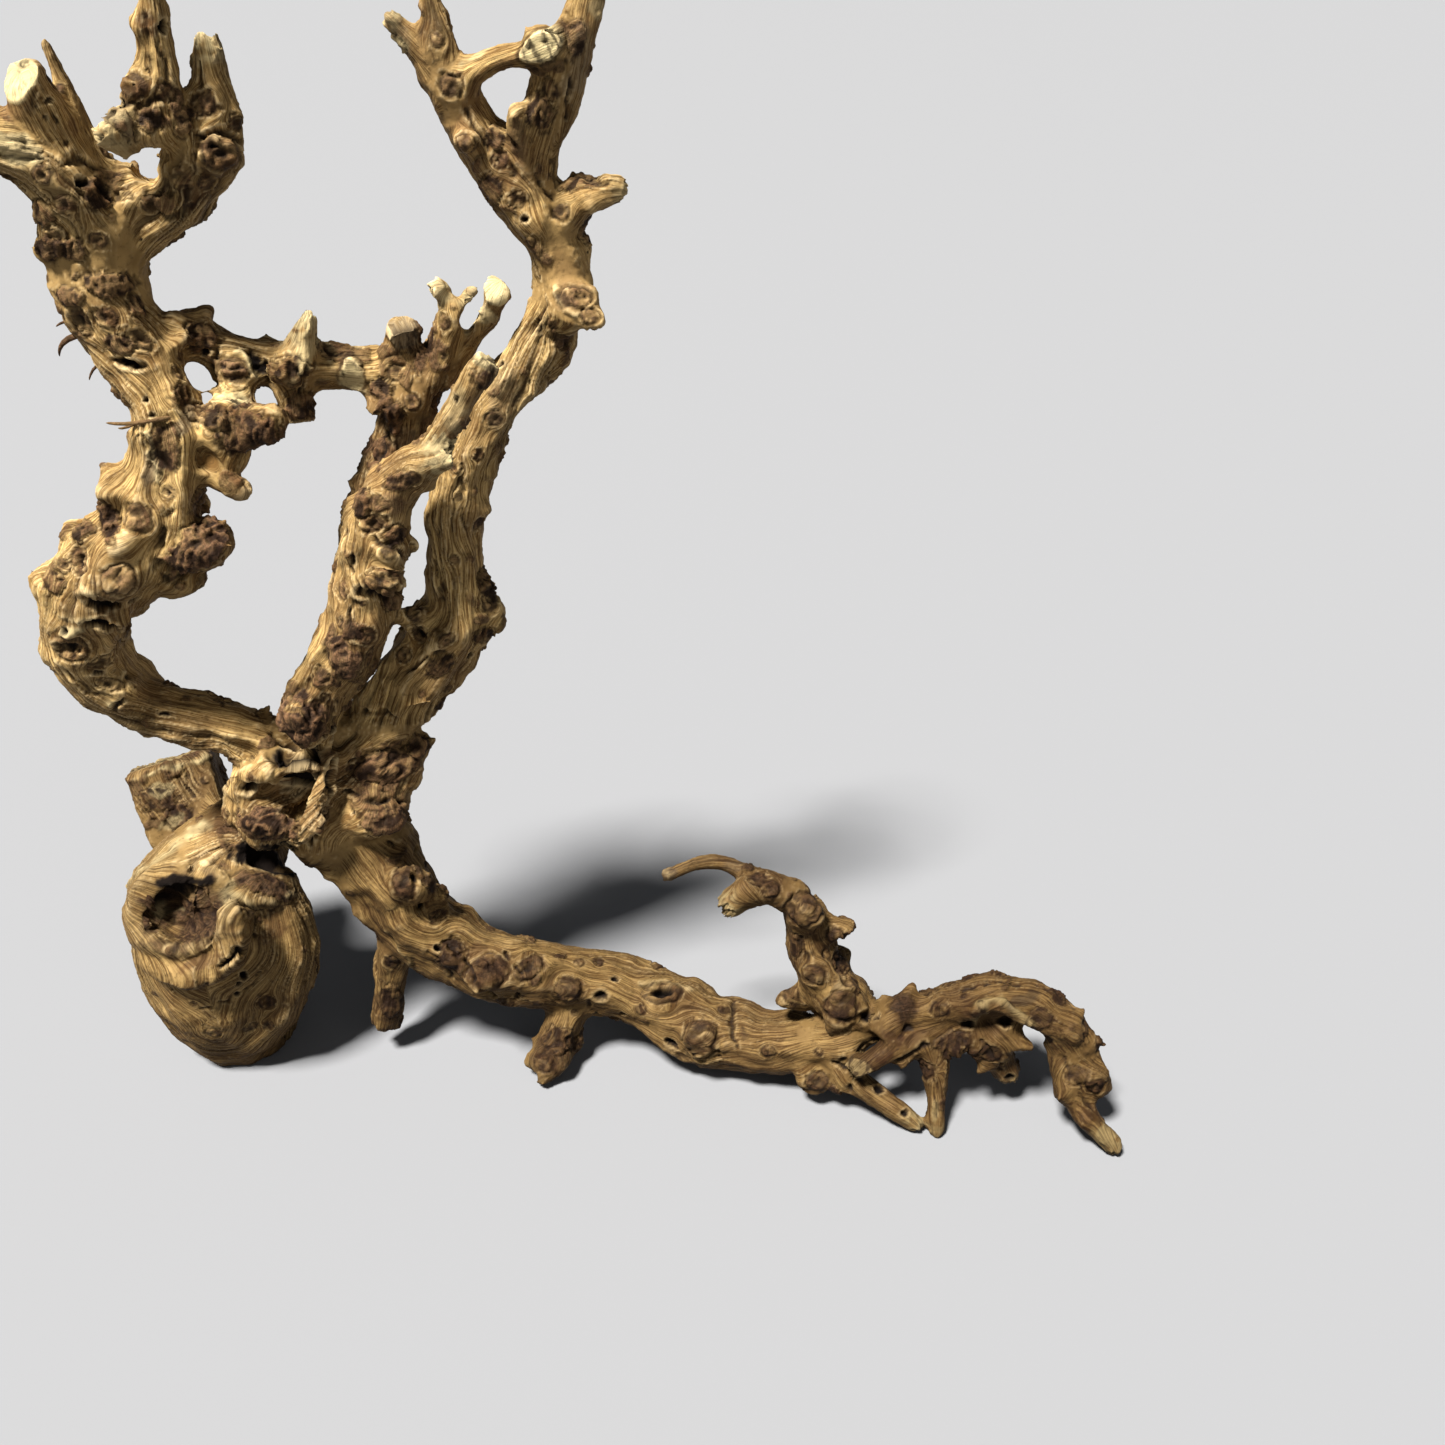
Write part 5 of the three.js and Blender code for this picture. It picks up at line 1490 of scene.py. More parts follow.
@dataclass
class HookBranch(Limb):
    """Rises from the low limb and ends in a thin curved hook."""

    node: str = "hook_branch"
    slot: Slot = Slot.BROWN
    lines: tuple[GrainLine, ...] = (
        GrainLine(((50, -12, 18, 10), (48, -10, 24, 10), (42, -7, 34, 10.4), (33, -5, 45, 9.6),
                   (29, -2, 58, 8.8), (28, -2, 70, 8), (21, -3, 78, 5.6), (13, -3, 82, 4.6)), 0.014),
        GrainLine(((20, -3, 79, 5), (9, 0, 82, 3.3), (0, 4, 85, 2.9), (-10, 4, 84, 2.6), (-20, 2, 80, 2.2)),
                   0.03),
    )
    tone: float = 0.45
    crust: float = 0.2
    red: float = 0.25
    lumpy: float = 0.9
    dark: float = 0.8
    furrows: float = 0.45
    marks: tuple[Mark, ...] = (
        Knot((771, 889), (10, 9), 0, 0.9, 0.8), Knot((806, 910), (19, 17), 0, 1.3, 0.5),
        Knot((814, 975), (11, 10), 0, 1.0, 1.0), Knot((842, 1006), (18, 16), 0, 1.3, 1.0),
        Pit((868, 1016), (8, 7), 0, 2.8), Knot((790, 992), (9, 8), 0, 0.9, 1.0),
        Scab((842, 960), (12, 16), -20, 0.9, 0.3, 0.7), Knot((835, 935), (9, 8), 0, 0.9, 0.8, 0.7),
        Stain((690, 862), (28, 8), 0, "knot", 0.3), Knot((758, 880), (9, 9), 0, 0.9, 0.8, 0.6),
        Scab((794, 945), (9, 14), 0, 0.8, 0.5, 0.6), Scab((852, 985), (11, 11), 0, 0.9, 0.5, 0.6),
        Stain((810, 925), (24, 22), 0, "knot", 0.35), Swelling((840, 985), (18, 16), 0, 1.3),
        Stain((732, 866), (12, 6), 0, "grey", 0.5), Swelling((668, 874), (9, 8), 0, 1.3),
        Stain((668, 874), (10, 8), 0, "grey", 0.8), Stain((902, 1004), (12, 20), 25, "bark", 0.8),
        Knot((838, 962), (11, 12), 0, 1.0, 2.0),
    )
    cracks: tuple[Crack, ...] = (
        Crack(((800, 935), (806, 955), (806, 980)), 0.8, 1.3),
        Crack(((824, 950), (836, 970), (846, 990)), 0.8, 1.4),
        Crack(((826, 1012), (844, 1022), (862, 1016)), 0.9, 1.6),
    )
    stubs: tuple[Stub, ...] = (
        Stub((746, 892), (728, 906), (4.0, 5.0), 0.0, 0.9), Stub((836, 934), (853, 928), (2.6, 0.9)),
        Stub((788, 996), (775, 1003), (3.0, 1.8)), Stub((892, 1022), (915, 978), (6.6, 2.0), 2.0, 0.2),
        Stub((822, 896), (832, 902), (2.2, 1.0)), Stub((836, 1022), (828, 1030), (2.4, 1.2)),
        Stub((748, 872), (752, 864), (1.6, 0.8)), Stub((882, 1000), (888, 990), (1.8, 0.8)),
    )
    ends: tuple[LimbEnd, ...] = (
        LimbEnd((2, -8, 75), (-9, -5, -5), 6, 5, Cut.TORN, 1.0, 2.4),
        LimbEnd((-19, 2, 80), (-6, -2, -4), 2.6, 2.5, Cut.TORN, 0.5, 0.6),
    )


@dataclass
class FootSpray(Limb):
    """The arched end of the low limb, which splits into root tips that reach the ground."""

    node: str = "foot_spray"
    slot: Slot = Slot.OCHRE
    lines: tuple[GrainLine, ...] = (
        GrainLine(((44, -8, 24, 7), (50, -11, 26, 6.7), (58, -14, 30, 7.4), (67, -16, 35, 7.8),
                   (78, -17, 42, 7.2), (91, -18, 46, 6.7), (104, -20, 45, 7.2), (115, -24, 38, 7.4), (121,
                   -28, 28, 6.4), (125, -31, 20, 5.2), (128, -34, 14, 4.4), (132, -45, 3, 3.8)), 0.02),
        GrainLine(((66, -16, 32, 5), (56, -22, 26, 4.6), (44, -30, 21, 4.2)), 0.0),
        GrainLine(((68, -20, 30, 5), (71, -28, 16, 4), (73, -37, 1, 3)), 0.0),
        GrainLine(((84, -17, 42, 5.5), (92, -20, 28, 5.4), (100, -21, 11, 5)), 0.0),
        GrainLine(((78, -22, 42, 2.6), (92, -27, 44, 2.5), (106, -30, 42, 2.4), (119, -32, 39, 2.3)), 0.0),
        GrainLine(((119, -28, 30, 5), (112, -32, 18, 4.4), (108, -34, 12, 4)), 0.0),
    )
    tone: float = 0.5
    crust: float = 0.18
    red: float = 0.25
    lumpy: float = 1.0
    dark: float = 0.95
    furrows: float = 0.55
    marks: tuple[Mark, ...] = (
        Knot((925, 1068), (12, 11), 0, 1.2, 1.2, 0.5), Knot((990, 1052), (12, 10), 0, 1.0, 1.4, 0.4),
        Knot((1094, 1085), (10, 9), 0, 1.0, 1.0, 0.6), Knot((1076, 1075), (11, 10), 0, 1.0, 1.0, 0.6),
        Pit((1005, 1022), (10, 6), 0, 2.4, 0.8), Knot((1105, 1040), (8, 8), 0, 0.9, 0.8, 0.6),
        Knot((940, 1010), (10, 8), 0, 0.8, 1.0, 0.5), Knot((1060, 1000), (8, 6), 0, 0.7, 0.8, 0.5),
        Scab((1040, 1020), (12, 10), 0, 0.8, 0.3, 0.6), Knot((960, 1040), (10, 9), 0, 1.0, 1.2, 0.5),
        Stain((1086, 1110), (14, 16)), Pit((1010, 1078), (6, 5), 0, 1.8),
        # The dark and hollow stains in this list add painted shade.
        Stain((884, 1048), (30, 13), 28, "tone", 1.0), Stain((880, 1050), (38, 18), 28, "dark", 1.0),
        SawnFace((859, 1068), (14, 8), -15, 0.3, 0.5, 0.4), Stain((1022, 1000), (20, 8), 25, "hollow", 0.5),
        Scab((950, 1046), (14, 16), 0, 1.2, 0.5, 0.6), Stain((868, 1022), (22, 12), -20, "dark", 1.0),
        Stain((1104, 1136), (13, 9), 50, "pale", 0.8), Swelling((1000, 1056), (18, 14), 0, 2.0),
        Pit((968, 1022), (9, 7), 0, 2.4, 0.9), Stain((935, 1112), (4, 13), 0, "pale", 0.6),
        Pit((925, 1046), (7, 5), 0, 2.0, 0.8), Swelling((1078, 1030), (14, 14)),
        Swelling((1088, 1078), (16, 13), 0, 2.0),
    )
    cracks: tuple[Crack, ...] = (
        Crack(((960, 990), (990, 984), (1020, 984)), 0.8, 1.2),
        Crack(((1040, 986), (1066, 1000), (1084, 1022)), 0.8, 1.2),
        Crack(((985, 1040), (1000, 1060), (1004, 1074)), 0.8, 1.4),
        Crack(((934, 1080), (938, 1104), (936, 1124)), 0.7, 0.9),
        Crack(((1066, 1060), (1080, 1090), (1098, 1116)), 0.7, 1.1),
        Crack(((846, 1058), (874, 1042), (910, 1027)), 1.1),
        Crack(((858, 1082), (888, 1069), (926, 1048)), 1.1),
        Crack(((975, 1018), (985, 1003), (1000, 1001), (1015, 1012), (1030, 1024)), 1.6, -1.5, 0.9),
    )
    stubs: tuple[Stub, ...] = (
        Stub((1022, 1046), (1036, 1050), (2.4, 1.4)), Stub((1098, 1042), (1108, 1045), (2.4, 1.2)),
        Stub((948, 1034), (960, 1050), (3.0, 1.8), 4.0), Stub((1064, 1092), (1056, 1100), (2.4, 1.2)),
        Stub((986, 1066), (976, 1074), (2.2, 1.1)), Stub((910, 1062), (900, 1072), (2.4, 1.2), 3.0),
        Stub((1082, 1010), (1090, 1006), (1.8, 0.8)), Stub((990, 978), (994, 970), (1.4, 0.7)),
        Stub((1084, 1124), (1078, 1130), (1.8, 0.9)), Stub((1100, 1076), (1110, 1070), (2.2, 1.2)),
    )
    ends: tuple[LimbEnd, ...] = (
        LimbEnd((45, -29, 22), (-11, -8, -5), 4.4, 4, Cut.TORN, 0.6, 1.2),
        LimbEnd((73, -37, 1.5), (1, -4, -6), 3.2, 5, Cut.TORN, 0.7, 0.6),
        LimbEnd((100, -21, 12), (3, 0, -8), 5, 5, Cut.TORN, 0.8, 1.4),
        LimbEnd((132, -45, 3.5), (3, -6, -6), 4.4, 12, Cut.TORN, 1.0, 1.4),
    )


@dataclass
class Flow:
    """What the grain lines tell about each point of the skin."""

    along: Array
    sure: Array
    girth: Array
    relief: Array
    groove: Array
    tone: Array
    crust: Array
    lumpy: Array
    dark: Array


class Grain:
    """The fibres over the whole root: they run along each limb and bend round its knots."""

    def __init__(self, limbs: list[Limb], noise: Noise) -> None:
        """Traces every line.

        Args:
            limbs: the limbs, whose lines carry the fibres.
            noise: the fields that shape the fibres.
        """
        self.noise = noise
        self.owners = [limb for limb in limbs for _ in limb.lines]
        self.lines = [line.trace() for limb in limbs for line in limb.lines]
        self.steps = np.concatenate([line.path for line in self.lines])
        self.headings = np.concatenate([line.heading for line in self.lines])

    def heading(self, place: Array) -> Array:
        """The way that the fibres run near a place."""
        return self.headings[((self.steps - place) ** 2).sum(axis=1).argmin()]

    def fibres(self, along: Array) -> tuple[Array, Array]:
        """The furrows between bundles of fibres.

        Args:
            along: straightened places.

        Returns:
            The relief in millimetres, below zero in a furrow, and how far each point is in one.
        """
        noise = self.noise
        broad = np.clip(1.0 - 4.6 * np.abs(noise.at(along, (8.0, 8.0, 70.0), 31)), 0.0, 1.0)
        middle = np.clip(1.0 - 3.2 * np.abs(noise.at(along, (3.0, 3.0, 34.0), 32)), 0.0, 1.0)
        fine = np.clip(1.0 - 2.6 * np.abs(noise.at(along, (1.35, 1.35, 17.0), 33)), 0.0, 1.0)
        depth = np.clip(0.65 + 1.7 * noise.at(along, (16.0, 16.0, 40.0), 34), 0.12, 1.4)
        relief = -depth * (0.42 * broad**1.4 + 0.42 * middle**1.3 + 0.26 * fine)
        furrow = np.clip(depth * (0.6 * broad**2 + 0.45 * middle**2 + 0.25 * fine**2), 0.0, 1.0)
        return relief, furrow

    def lay(self, points: Array, blocks: Array) -> Flow:
        """Reads the lines at every point.

        Args:
            points: places on the skin.
            blocks: the number of the limb that each point belongs to.

        Returns:
            The flow over the skin.
        """
        count = len(points)
        single = len(fields(Flow)) - 1
        flow = Flow(np.zeros((count, 3)), *(np.zeros(count) for _ in range(single)))
        for block in np.unique(blocks):
            chosen = np.flatnonzero(blocks == block)
            self.lay_block(points[chosen], chosen, flow)
        return flow

    def lay_block(self, points: Array, chosen: Array, flow: Flow) -> None:
        """Reads the lines at the points of one limb.

        Args:
            points: the places.
            chosen: their numbers among all the points.
            flow: where the result is written.
        """
        count = len(points)
        close = []
        parts = []
        reads = []
        for number, line in enumerate(self.lines):
            margin = float(line.radii.max()) * 2.6 + 4.0
            inside = (points > line.path.min(axis=0) - margin) & (points < line.path.max(axis=0) + margin)
            part = np.flatnonzero(inside.all(axis=1))
            if len(part):
                close.append(number)
                parts.append(part)
                reads.append(line.read(points[part], self.noise, number))
        reach = np.full((len(close), count), 99.0)
        along = np.zeros((len(close), count, 3))
        for row, (part, read) in enumerate(zip(parts, reads)):
            reach[row, part] = read[0]
            along[row, part] = read[1]
        best = reach.min(axis=0)
        weight = np.exp(-(((reach - best) / 0.13) ** 2))
        weight /= weight.sum(axis=0)
        winner = reach.argmin(axis=0)
        flow.along[chosen] = along[winner, np.arange(count)]
        flow.sure[chosen] = smooth(0.55, 0.9, weight.max(axis=0))
        for row, number in enumerate(close):
            share = weight[row]
            limb = self.owners[number]
            for name in ("tone", "crust", "lumpy", "dark"):
                getattr(flow, name)[chosen] += share * getattr(limb, name)
            part = parts[row]
            flow.girth[chosen[part]] += share[part] * reads[row][2]
            strong = share[part] > 0.03
            part = part[strong]
            if len(part):
                relief, furrow = self.fibres(reads[row][1][strong])
                flow.relief[chosen[part]] += share[part] * relief * limb.furrows
                # The furrows darken through the groove mask: partly the wood's dark grain, partly painted
                # shade
                flow.groove[chosen[part]] += share[part] * furrow * (0.35 + 0.65 * limb.furrows)


class Skin:
    """The root's surface as one closed mesh, which is carved and then parted into its limbs again."""

    # How far the joined solids swell, and how often the skin over them is then smoothed
    SPARE = 0.38
    SETTLE = 9
    # Where along a line of sight a place beside the outline is looked for: from, to and step
    SIGHT = (330.0, 640.0, 4.0)
    # The share of its faces that the skin keeps at least when an opening is cut
    KEPT = 0.9
    # Rounds in which faces take on their neighbours' limb, and the most rounds that islands may need
    VOTES = 6
    ROUNDS = 4000
    # Where the random series of the scattered marks starts, how many places are tried, and their red
    SERIES = 29
    TRIES = 1300
    STRAY_RED = 0.6
    # How deep the middle of the face lies that closes a piece towards its neighbour
    DINT = 0.3

    def __init__(self, limbs: list[Limb], camera: PhotoCamera, noise: Noise, quick: bool) -> None:
        """Keeps what the carving needs.

        Args:
            limbs: the limbs with their marks.
            camera: the camera whose pixels place the marks.
            noise: the random fields.
            quick: whether a coarser skin will do.
        """
        self.limbs = limbs
        self.camera = camera
        self.noise = noise
        self.voxel = QUICK_VOXEL if quick else VOXEL
        self.grain = Grain(limbs, noise)
        self.body: Piece | None = None
        self.solids = BVHTree.FromPolygons(*self.solid_faces())
        self.tree = self.solids

    def solid_faces(self) -> tuple[list[Array], list[tuple[int, ...]]]:
        """Reads all faces of the solids in the order of the limbs, and keeps the limb of each face.

        Returns:
            The corners, and for each face the numbers of its corners.
        """
        corners: list[Array] = []
        faces: list[tuple[int, ...]] = []
        self.face_limb: list[int] = []
        for number, limb in enumerate(self.limbs):
            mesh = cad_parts[limb.node].data
            start = len(corners)
            corners.extend(np.array(vertex.co) / MM for vertex in mesh.vertices)
            faces.extend(tuple(start + index for index in face.vertices) for face in mesh.polygons)
            self.face_limb.extend([number] * len(mesh.polygons))
        return corners, faces

    def spot(self, pixel: Pixel) -> Spot:
        """The place on the skin that the picture shows at a pixel, or the nearest one beside the outline.

        Args:
            pixel: column and row in the picture.

        Returns:
            The place with its directions and the size of a pixel there.
        """
        start, way = self.camera.ray(pixel)
        place, normal, _, _ = self.tree.ray_cast(Vector(start), Vector(way))
        if place is None:
            tries = [self.tree.find_nearest(Vector(start + way * far)) for far in np.arange(*self.SIGHT)]
            place, normal, _, _ = min(tries, key=lambda found: found[3])
        centre = np.array(place)
        scale = float((centre - start) @ self.camera.ahead()) / self.camera.focal
        return Spot(centre, np.array(normal), np.array([1.0, 0.0, 0.0]), self.camera.up(), scale)

    def fuse(self) -> None:
        """Joins copies of all the solids and the side shoots, and lays one even skin over them."""
        bpy.ops.object.select_all(action="DESELECT")
        pieces = []
        for limb in self.limbs:
            copy = bpy.data.objects.new(f"{limb.node}_copy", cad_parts[limb.node].data.copy())
            bpy.context.scene.collection.objects.link(copy)
            pieces.append(copy)
            for stub in limb.stubs:
                pieces.append(stub.build(self.spot(stub.foot), self.camera))
        pick(*pieces)
        bpy.ops.object.join()
        self.body = bpy.context.active_object
        bpy.ops.object.mode_set(mode="EDIT")
        bpy.ops.mesh.select_all(action="SELECT")
        bpy.ops.mesh.remove_doubles(threshold=0.00001)
        bpy.ops.object.mode_set(mode="OBJECT")
        reshape(self.body, "DISPLACE", strength=self.SPARE * MM, mid_level=0.0)
        self.even_out()
        for gap in [gap for limb in self.limbs for gap in limb.gaps]:
            self.open(gap)
        self.even_out()
        reshape(self.body, "SMOOTH", factor=0.5, iterations=self.SETTLE)
        self.drop_crumbs()
        log.info("fused skin: %d faces", len(self.body.data.polygons))

    def even_out(self) -> None:
        """Lays a new skin of even faces over the body."""
        reshape(self.body, "REMESH", mode="VOXEL", voxel_size=self.voxel * MM)

    def open(self, gap: Gap) -> None:
        """Cuts an opening through the body, and undoes a cut that loses much of the skin.

        Args:
            gap: the opening.
        """
        whole = self.body.data.copy()
        block = gap.build(self.camera)
        pick(self.body)
        reshape(self.body, "BOOLEAN", operation="DIFFERENCE", object=block)
        bpy.data.objects.remove(block)
        if len(self.body.data.polygons) < self.KEPT * len(whole.polygons):
            log.warning("the opening at %s was undone", gap.pixel)
            self.body.data = whole

    def drop_crumbs(self) -> None:
        """Deletes loose bits, such as skins of closed gaps in the wood, and keeps the largest body."""
        bpy.ops.object.mode_set(mode="EDIT")
        bpy.ops.mesh.select_all(action="SELECT")
        bpy.ops.mesh.separate(type="LOOSE")
        bpy.ops.object.mode_set(mode="OBJECT")
        parts = list(bpy.context.selected_objects)
        largest = max(parts, key=lambda part: len(part.data.polygons))
        for part in parts:
            if part is not largest:
                bpy.data.objects.remove(part)
        self.body = largest
        bpy.context.view_layer.objects.active = largest

    def read(self, items: Items, name: str, width: int, kind: type) -> Array:
        """Reads one value of every point or face.

        Args:
            items: the points or faces, or a layer's values on them.
            name: the value's name.
            width: how many numbers it has.
            kind: what they are in the mesh.

        Returns:
            The numbers, one item in each row.
        """
        flat = np.empty(len(items) * width, dtype=kind)
        items.foreach_get(name, flat)
        return flat.reshape(-1, width)

    def points(self) -> Array:
        """The skin's points in millimetres."""
        return self.read(self.body.data.vertices, "co", 3, np.float32).astype(float) / MM

    def normals(self) -> Array:
        """The skin's direction at each point."""
        return unit(self.read(self.body.data.vertices, "normal", 3, np.float32).astype(float))

    def move(self, points: Array) -> None:
        """Moves the skin's points.

        Args:
            points: their new places in millimetres.
        """
        self.body.data.vertices.foreach_set("co", (points * MM).astype(np.float32).ravel())
        self.body.data.update()

    def corners(self) -> Array:
        """The four corners of each face."""
        return self.read(self.body.data.polygons, "vertices", 4, np.int32)

    def face_limbs(self) -> Array:
        """The number of the limb that each face belongs to."""
        return self.read(self.body.data.attributes["limb"].data, "value", 1, np.int32).ravel()

    def label(self) -> None:
        """Gives each face the number of the limb whose solid it covers, with no stray islands."""
        points = self.points()
        faces = self.corners()
        middles = points[faces].mean(axis=1)
        nearest = [self.solids.find_nearest(Vector(middle))[2] for middle in middles]
        labels = np.array(self.face_limb, dtype=np.int32)[np.array(nearest)]
        pairs = self.neighbours(faces)
        for _ in range(self.VOTES):
            labels = self.vote(labels, pairs)
        labels = self.absorb_islands(labels, pairs)
        layer = self.body.data.attributes.new("limb", "INT", "FACE")
        layer.data.foreach_set("value", labels)

    def neighbours(self, faces: Array) -> Array:
        """Pairs of faces that share an edge.

        Args:
            faces: the corners of each face.

        Returns:
            One pair in each row.
        """
        edges = np.concatenate([faces[:, [0, 1]], faces[:, [1, 2]], faces[:, [2, 3]], faces[:, [3, 0]]])
        edges.sort(axis=1)
        owner = np.tile(np.arange(len(faces)), 4)
        order = np.lexsort((edges[:, 1], edges[:, 0]))
        edges = edges[order]
        owner = owner[order]
        same = (edges[1:] == edges[:-1]).all(axis=1)
        return np.stack([owner[:-1][same], owner[1:][same]], axis=1)

    def vote(self, labels: Array, pairs: Array) -> Array:
        """Gives each face the label that most of its neighbours and itself have.

        Args:
            labels: the label of each face.
            pairs: the faces that share an edge.

        Returns:
            The new labels.
        """
        votes = np.zeros((len(labels), len(self.limbs)), dtype=np.float32)
        votes[np.arange(len(labels)), labels] = 1.5
        np.add.at(votes, (pairs[:, 0], labels[pairs[:, 1]]), 1.0)
        np.add.at(votes, (pairs[:, 1], labels[pairs[:, 0]]), 1.0)
        return votes.argmax(axis=1).astype(np.int32)

    def absorb_islands(self, labels: Array, pairs: Array) -> Array:
        """Keeps each limb's largest patch and gives stray ones to the limb around them.

        Args:
            labels: the label of each face.
            pairs: the faces that share an edge.

        Returns:
            The new labels.
        """
        alike = pairs[labels[pairs[:, 0]] == labels[pairs[:, 1]]]
        group = np.arange(len(labels))
        for _ in range(self.ROUNDS):
            before = group.copy()
            lowest = np.minimum(group[alike[:, 0]], group[alike[:, 1]])
            np.minimum.at(group, alike[:, 0], lowest)
            np.minimum.at(group, alike[:, 1], lowest)
            group = group[group]
            if (group == before).all():
                break
        numbers, sizes = np.unique(group, return_counts=True)
        keep = set()
        for number in range(len(self.limbs)):
            own = np.unique(group[labels == number])
            if len(own):
                keep.add(int(own[np.argmax([sizes[np.searchsorted(numbers, one)] for one in own])]))
        stray = ~np.isin(group, list(keep))
        for _ in range(self.ROUNDS):
            if not stray.any():
                break
            for here, there in ((0, 1), (1, 0)):
                touch = stray[pairs[:, here]] & ~stray[pairs[:, there]]
                labels[pairs[touch, here]] = labels[pairs[touch, there]]
                stray[pairs[touch, here]] = False
        return labels

    def roughen(self) -> None:
        """Gives the coarse skin the lumps of grown wood, larger on thick limbs."""
        points = self.points()
        flow = self.grain.lay(points, self.point_limbs())
        size = np.clip(flow.girth / 10.0, 0.3, 1.3)
        noise = self.noise
        lumps = 2.1 * noise.at(points, 17.0, 41) + 1.7 * noise.at(points, 9.0, 42)
        lumps = lumps + 0.8 * noise.at(points, 4.6, 43)
        ribs = 0.5 - 2.4 * np.abs(noise.at(flow.along, (10.0, 10.0, 52.0), 44))
        lift = size * flow.lumpy * (lumps * 0.66 + ribs * flow.sure)
        self.move(points + self.normals() * lift[:, None])
        faces = [tuple(face) for face in self.corners()]
        self.tree = BVHTree.FromPolygons([Vector(point) for point in self.points()], faces)

    def point_limbs(self) -> Array:
        """Finds the limb that each point belongs to.

        Returns:
            The limb's number for each point.
        """
        owners = np.zeros(len(self.body.data.vertices), dtype=np.int32)
        owners[self.corners().ravel()] = np.repeat(self.face_limbs(), 4)
        return owners

    def refine(self) -> None:
        """Divides each face in four."""
        reshape(self.body, "SUBSURF", levels=1, render_levels=1, quality=1, use_limit_surface=False)

    def scatter(self, taken: list[tuple[Array, float]]) -> list[tuple[Mark, Spot]]:
        """Small marks all over the root, also where the picture doesn't show it.

        Args:
            taken: places and sizes of the marks that the picture shows.

        Returns:
            The marks with their places.
        """
        series = np.random.default_rng(self.SERIES)
        points = self.points()
        normals = self.normals()
        centres = [place for place, _ in taken]
        sizes = [size for _, size in taken]
        found: list[tuple[Mark, Spot]] = []
        for number in series.integers(0, len(points), self.TRIES):
            kind = series.random()
            size = float(series.uniform(1.5, 4.2))
            gaps = np.linalg.norm(np.array(centres) - points[number], axis=1) - np.array(sizes)
            front = normals[number] @ -self.camera.ahead() > 0.15
            if gaps.min() < size * (1.7 if front else 1.25) or points[number][2] < 3.0:
                continue
            if front:
                size = min(size * 0.55, 1.5)
            oval = float(series.uniform(0.65, 1.0))
            turn = float(series.uniform(0.0, 180.0))
            shape = (size, size * oval)
            if kind < 0.4:
                lip = 0.3 * size + 0.1
                deep = float(series.uniform(0.1, 0.6)) * size
                mark: Mark = Knot((0, 0), shape, turn, lip, deep, float(series.uniform(0.3, 0.95)))
            elif kind < 0.58:
                mark = Pit((0, 0), (size * 0.42, size * 0.3), turn, 0.7 * size)
            elif kind < 0.78 and not front:
                red = float(series.uniform(0.1, 0.7))
                mark = Scab((0, 0), (size * 1.7, size * 1.3 * oval), turn, 0.25 * size + 0.3, red, 0.75)
            else:
                mark = Swelling((0, 0), (size * 1.5, size * 1.2), turn, 0.45 * size)
            normal = normals[number]
            right = unit(np.cross(normal, np.array([0.31, 0.77, 0.55])))
            found.append((mark, Spot(points[number], normal, right, np.cross(normal, right), 1.0)))
            centres.append(points[number])
            sizes.append(size)
        return found

    def press_marks(self, canvas: Canvas) -> None:
        """Presses every mark into the canvas, those of the picture last.

        Args:
            canvas: what they are pressed into.
        """
        shown = [(mark, self.spot(mark.pixel), limb.red) for limb in self.limbs for mark in limb.marks]
        taken = [(spot.centre, max(mark.size) * spot.scale) for mark, spot, _ in shown]
        strays = [(mark, spot, self.STRAY_RED) for mark, spot in self.scatter(taken)]
        for mark, spot, red in strays + shown:
            canvas.red = red
            mark.press(canvas, spot, self.grain.heading(spot.centre))
        for limb in self.limbs:
            for crack in limb.cracks:
                crack.press(canvas, [self.spot(pixel) for pixel in crack.path])
        for number, limb in enumerate(self.limbs):
            canvas.owner = number
            for end in limb.ends:
                end.press(canvas)

    def crust(self, canvas: Canvas, flow: Flow) -> Array:
        """Old bark that still clings here and there.

        Args:
            canvas: the points and the marks on them.
            flow: how much bark each limb keeps.

        Returns:
            The height of the bark at each point.
        """
        noise = self.noise
        patchy = 0.62 * noise.at(canvas.points, 10.0, 51) + 0.42 * noise.at(canvas.points, 4.2, 52)
        body = smooth(0.02, 0.13, patchy + 0.85 * flow.crust - 0.5) * (1.0 - canvas.calm)
        body = body * (1.0 - canvas.masks["pale"])
        crumbs = bark_relief(noise, flow.along, np.array([0.0, 0.0, 1.0]))
        canvas.masks["bark"] = np.maximum(canvas.masks["bark"], 0.8 * body)
        return 0.75 * body * (0.5 + crumbs)

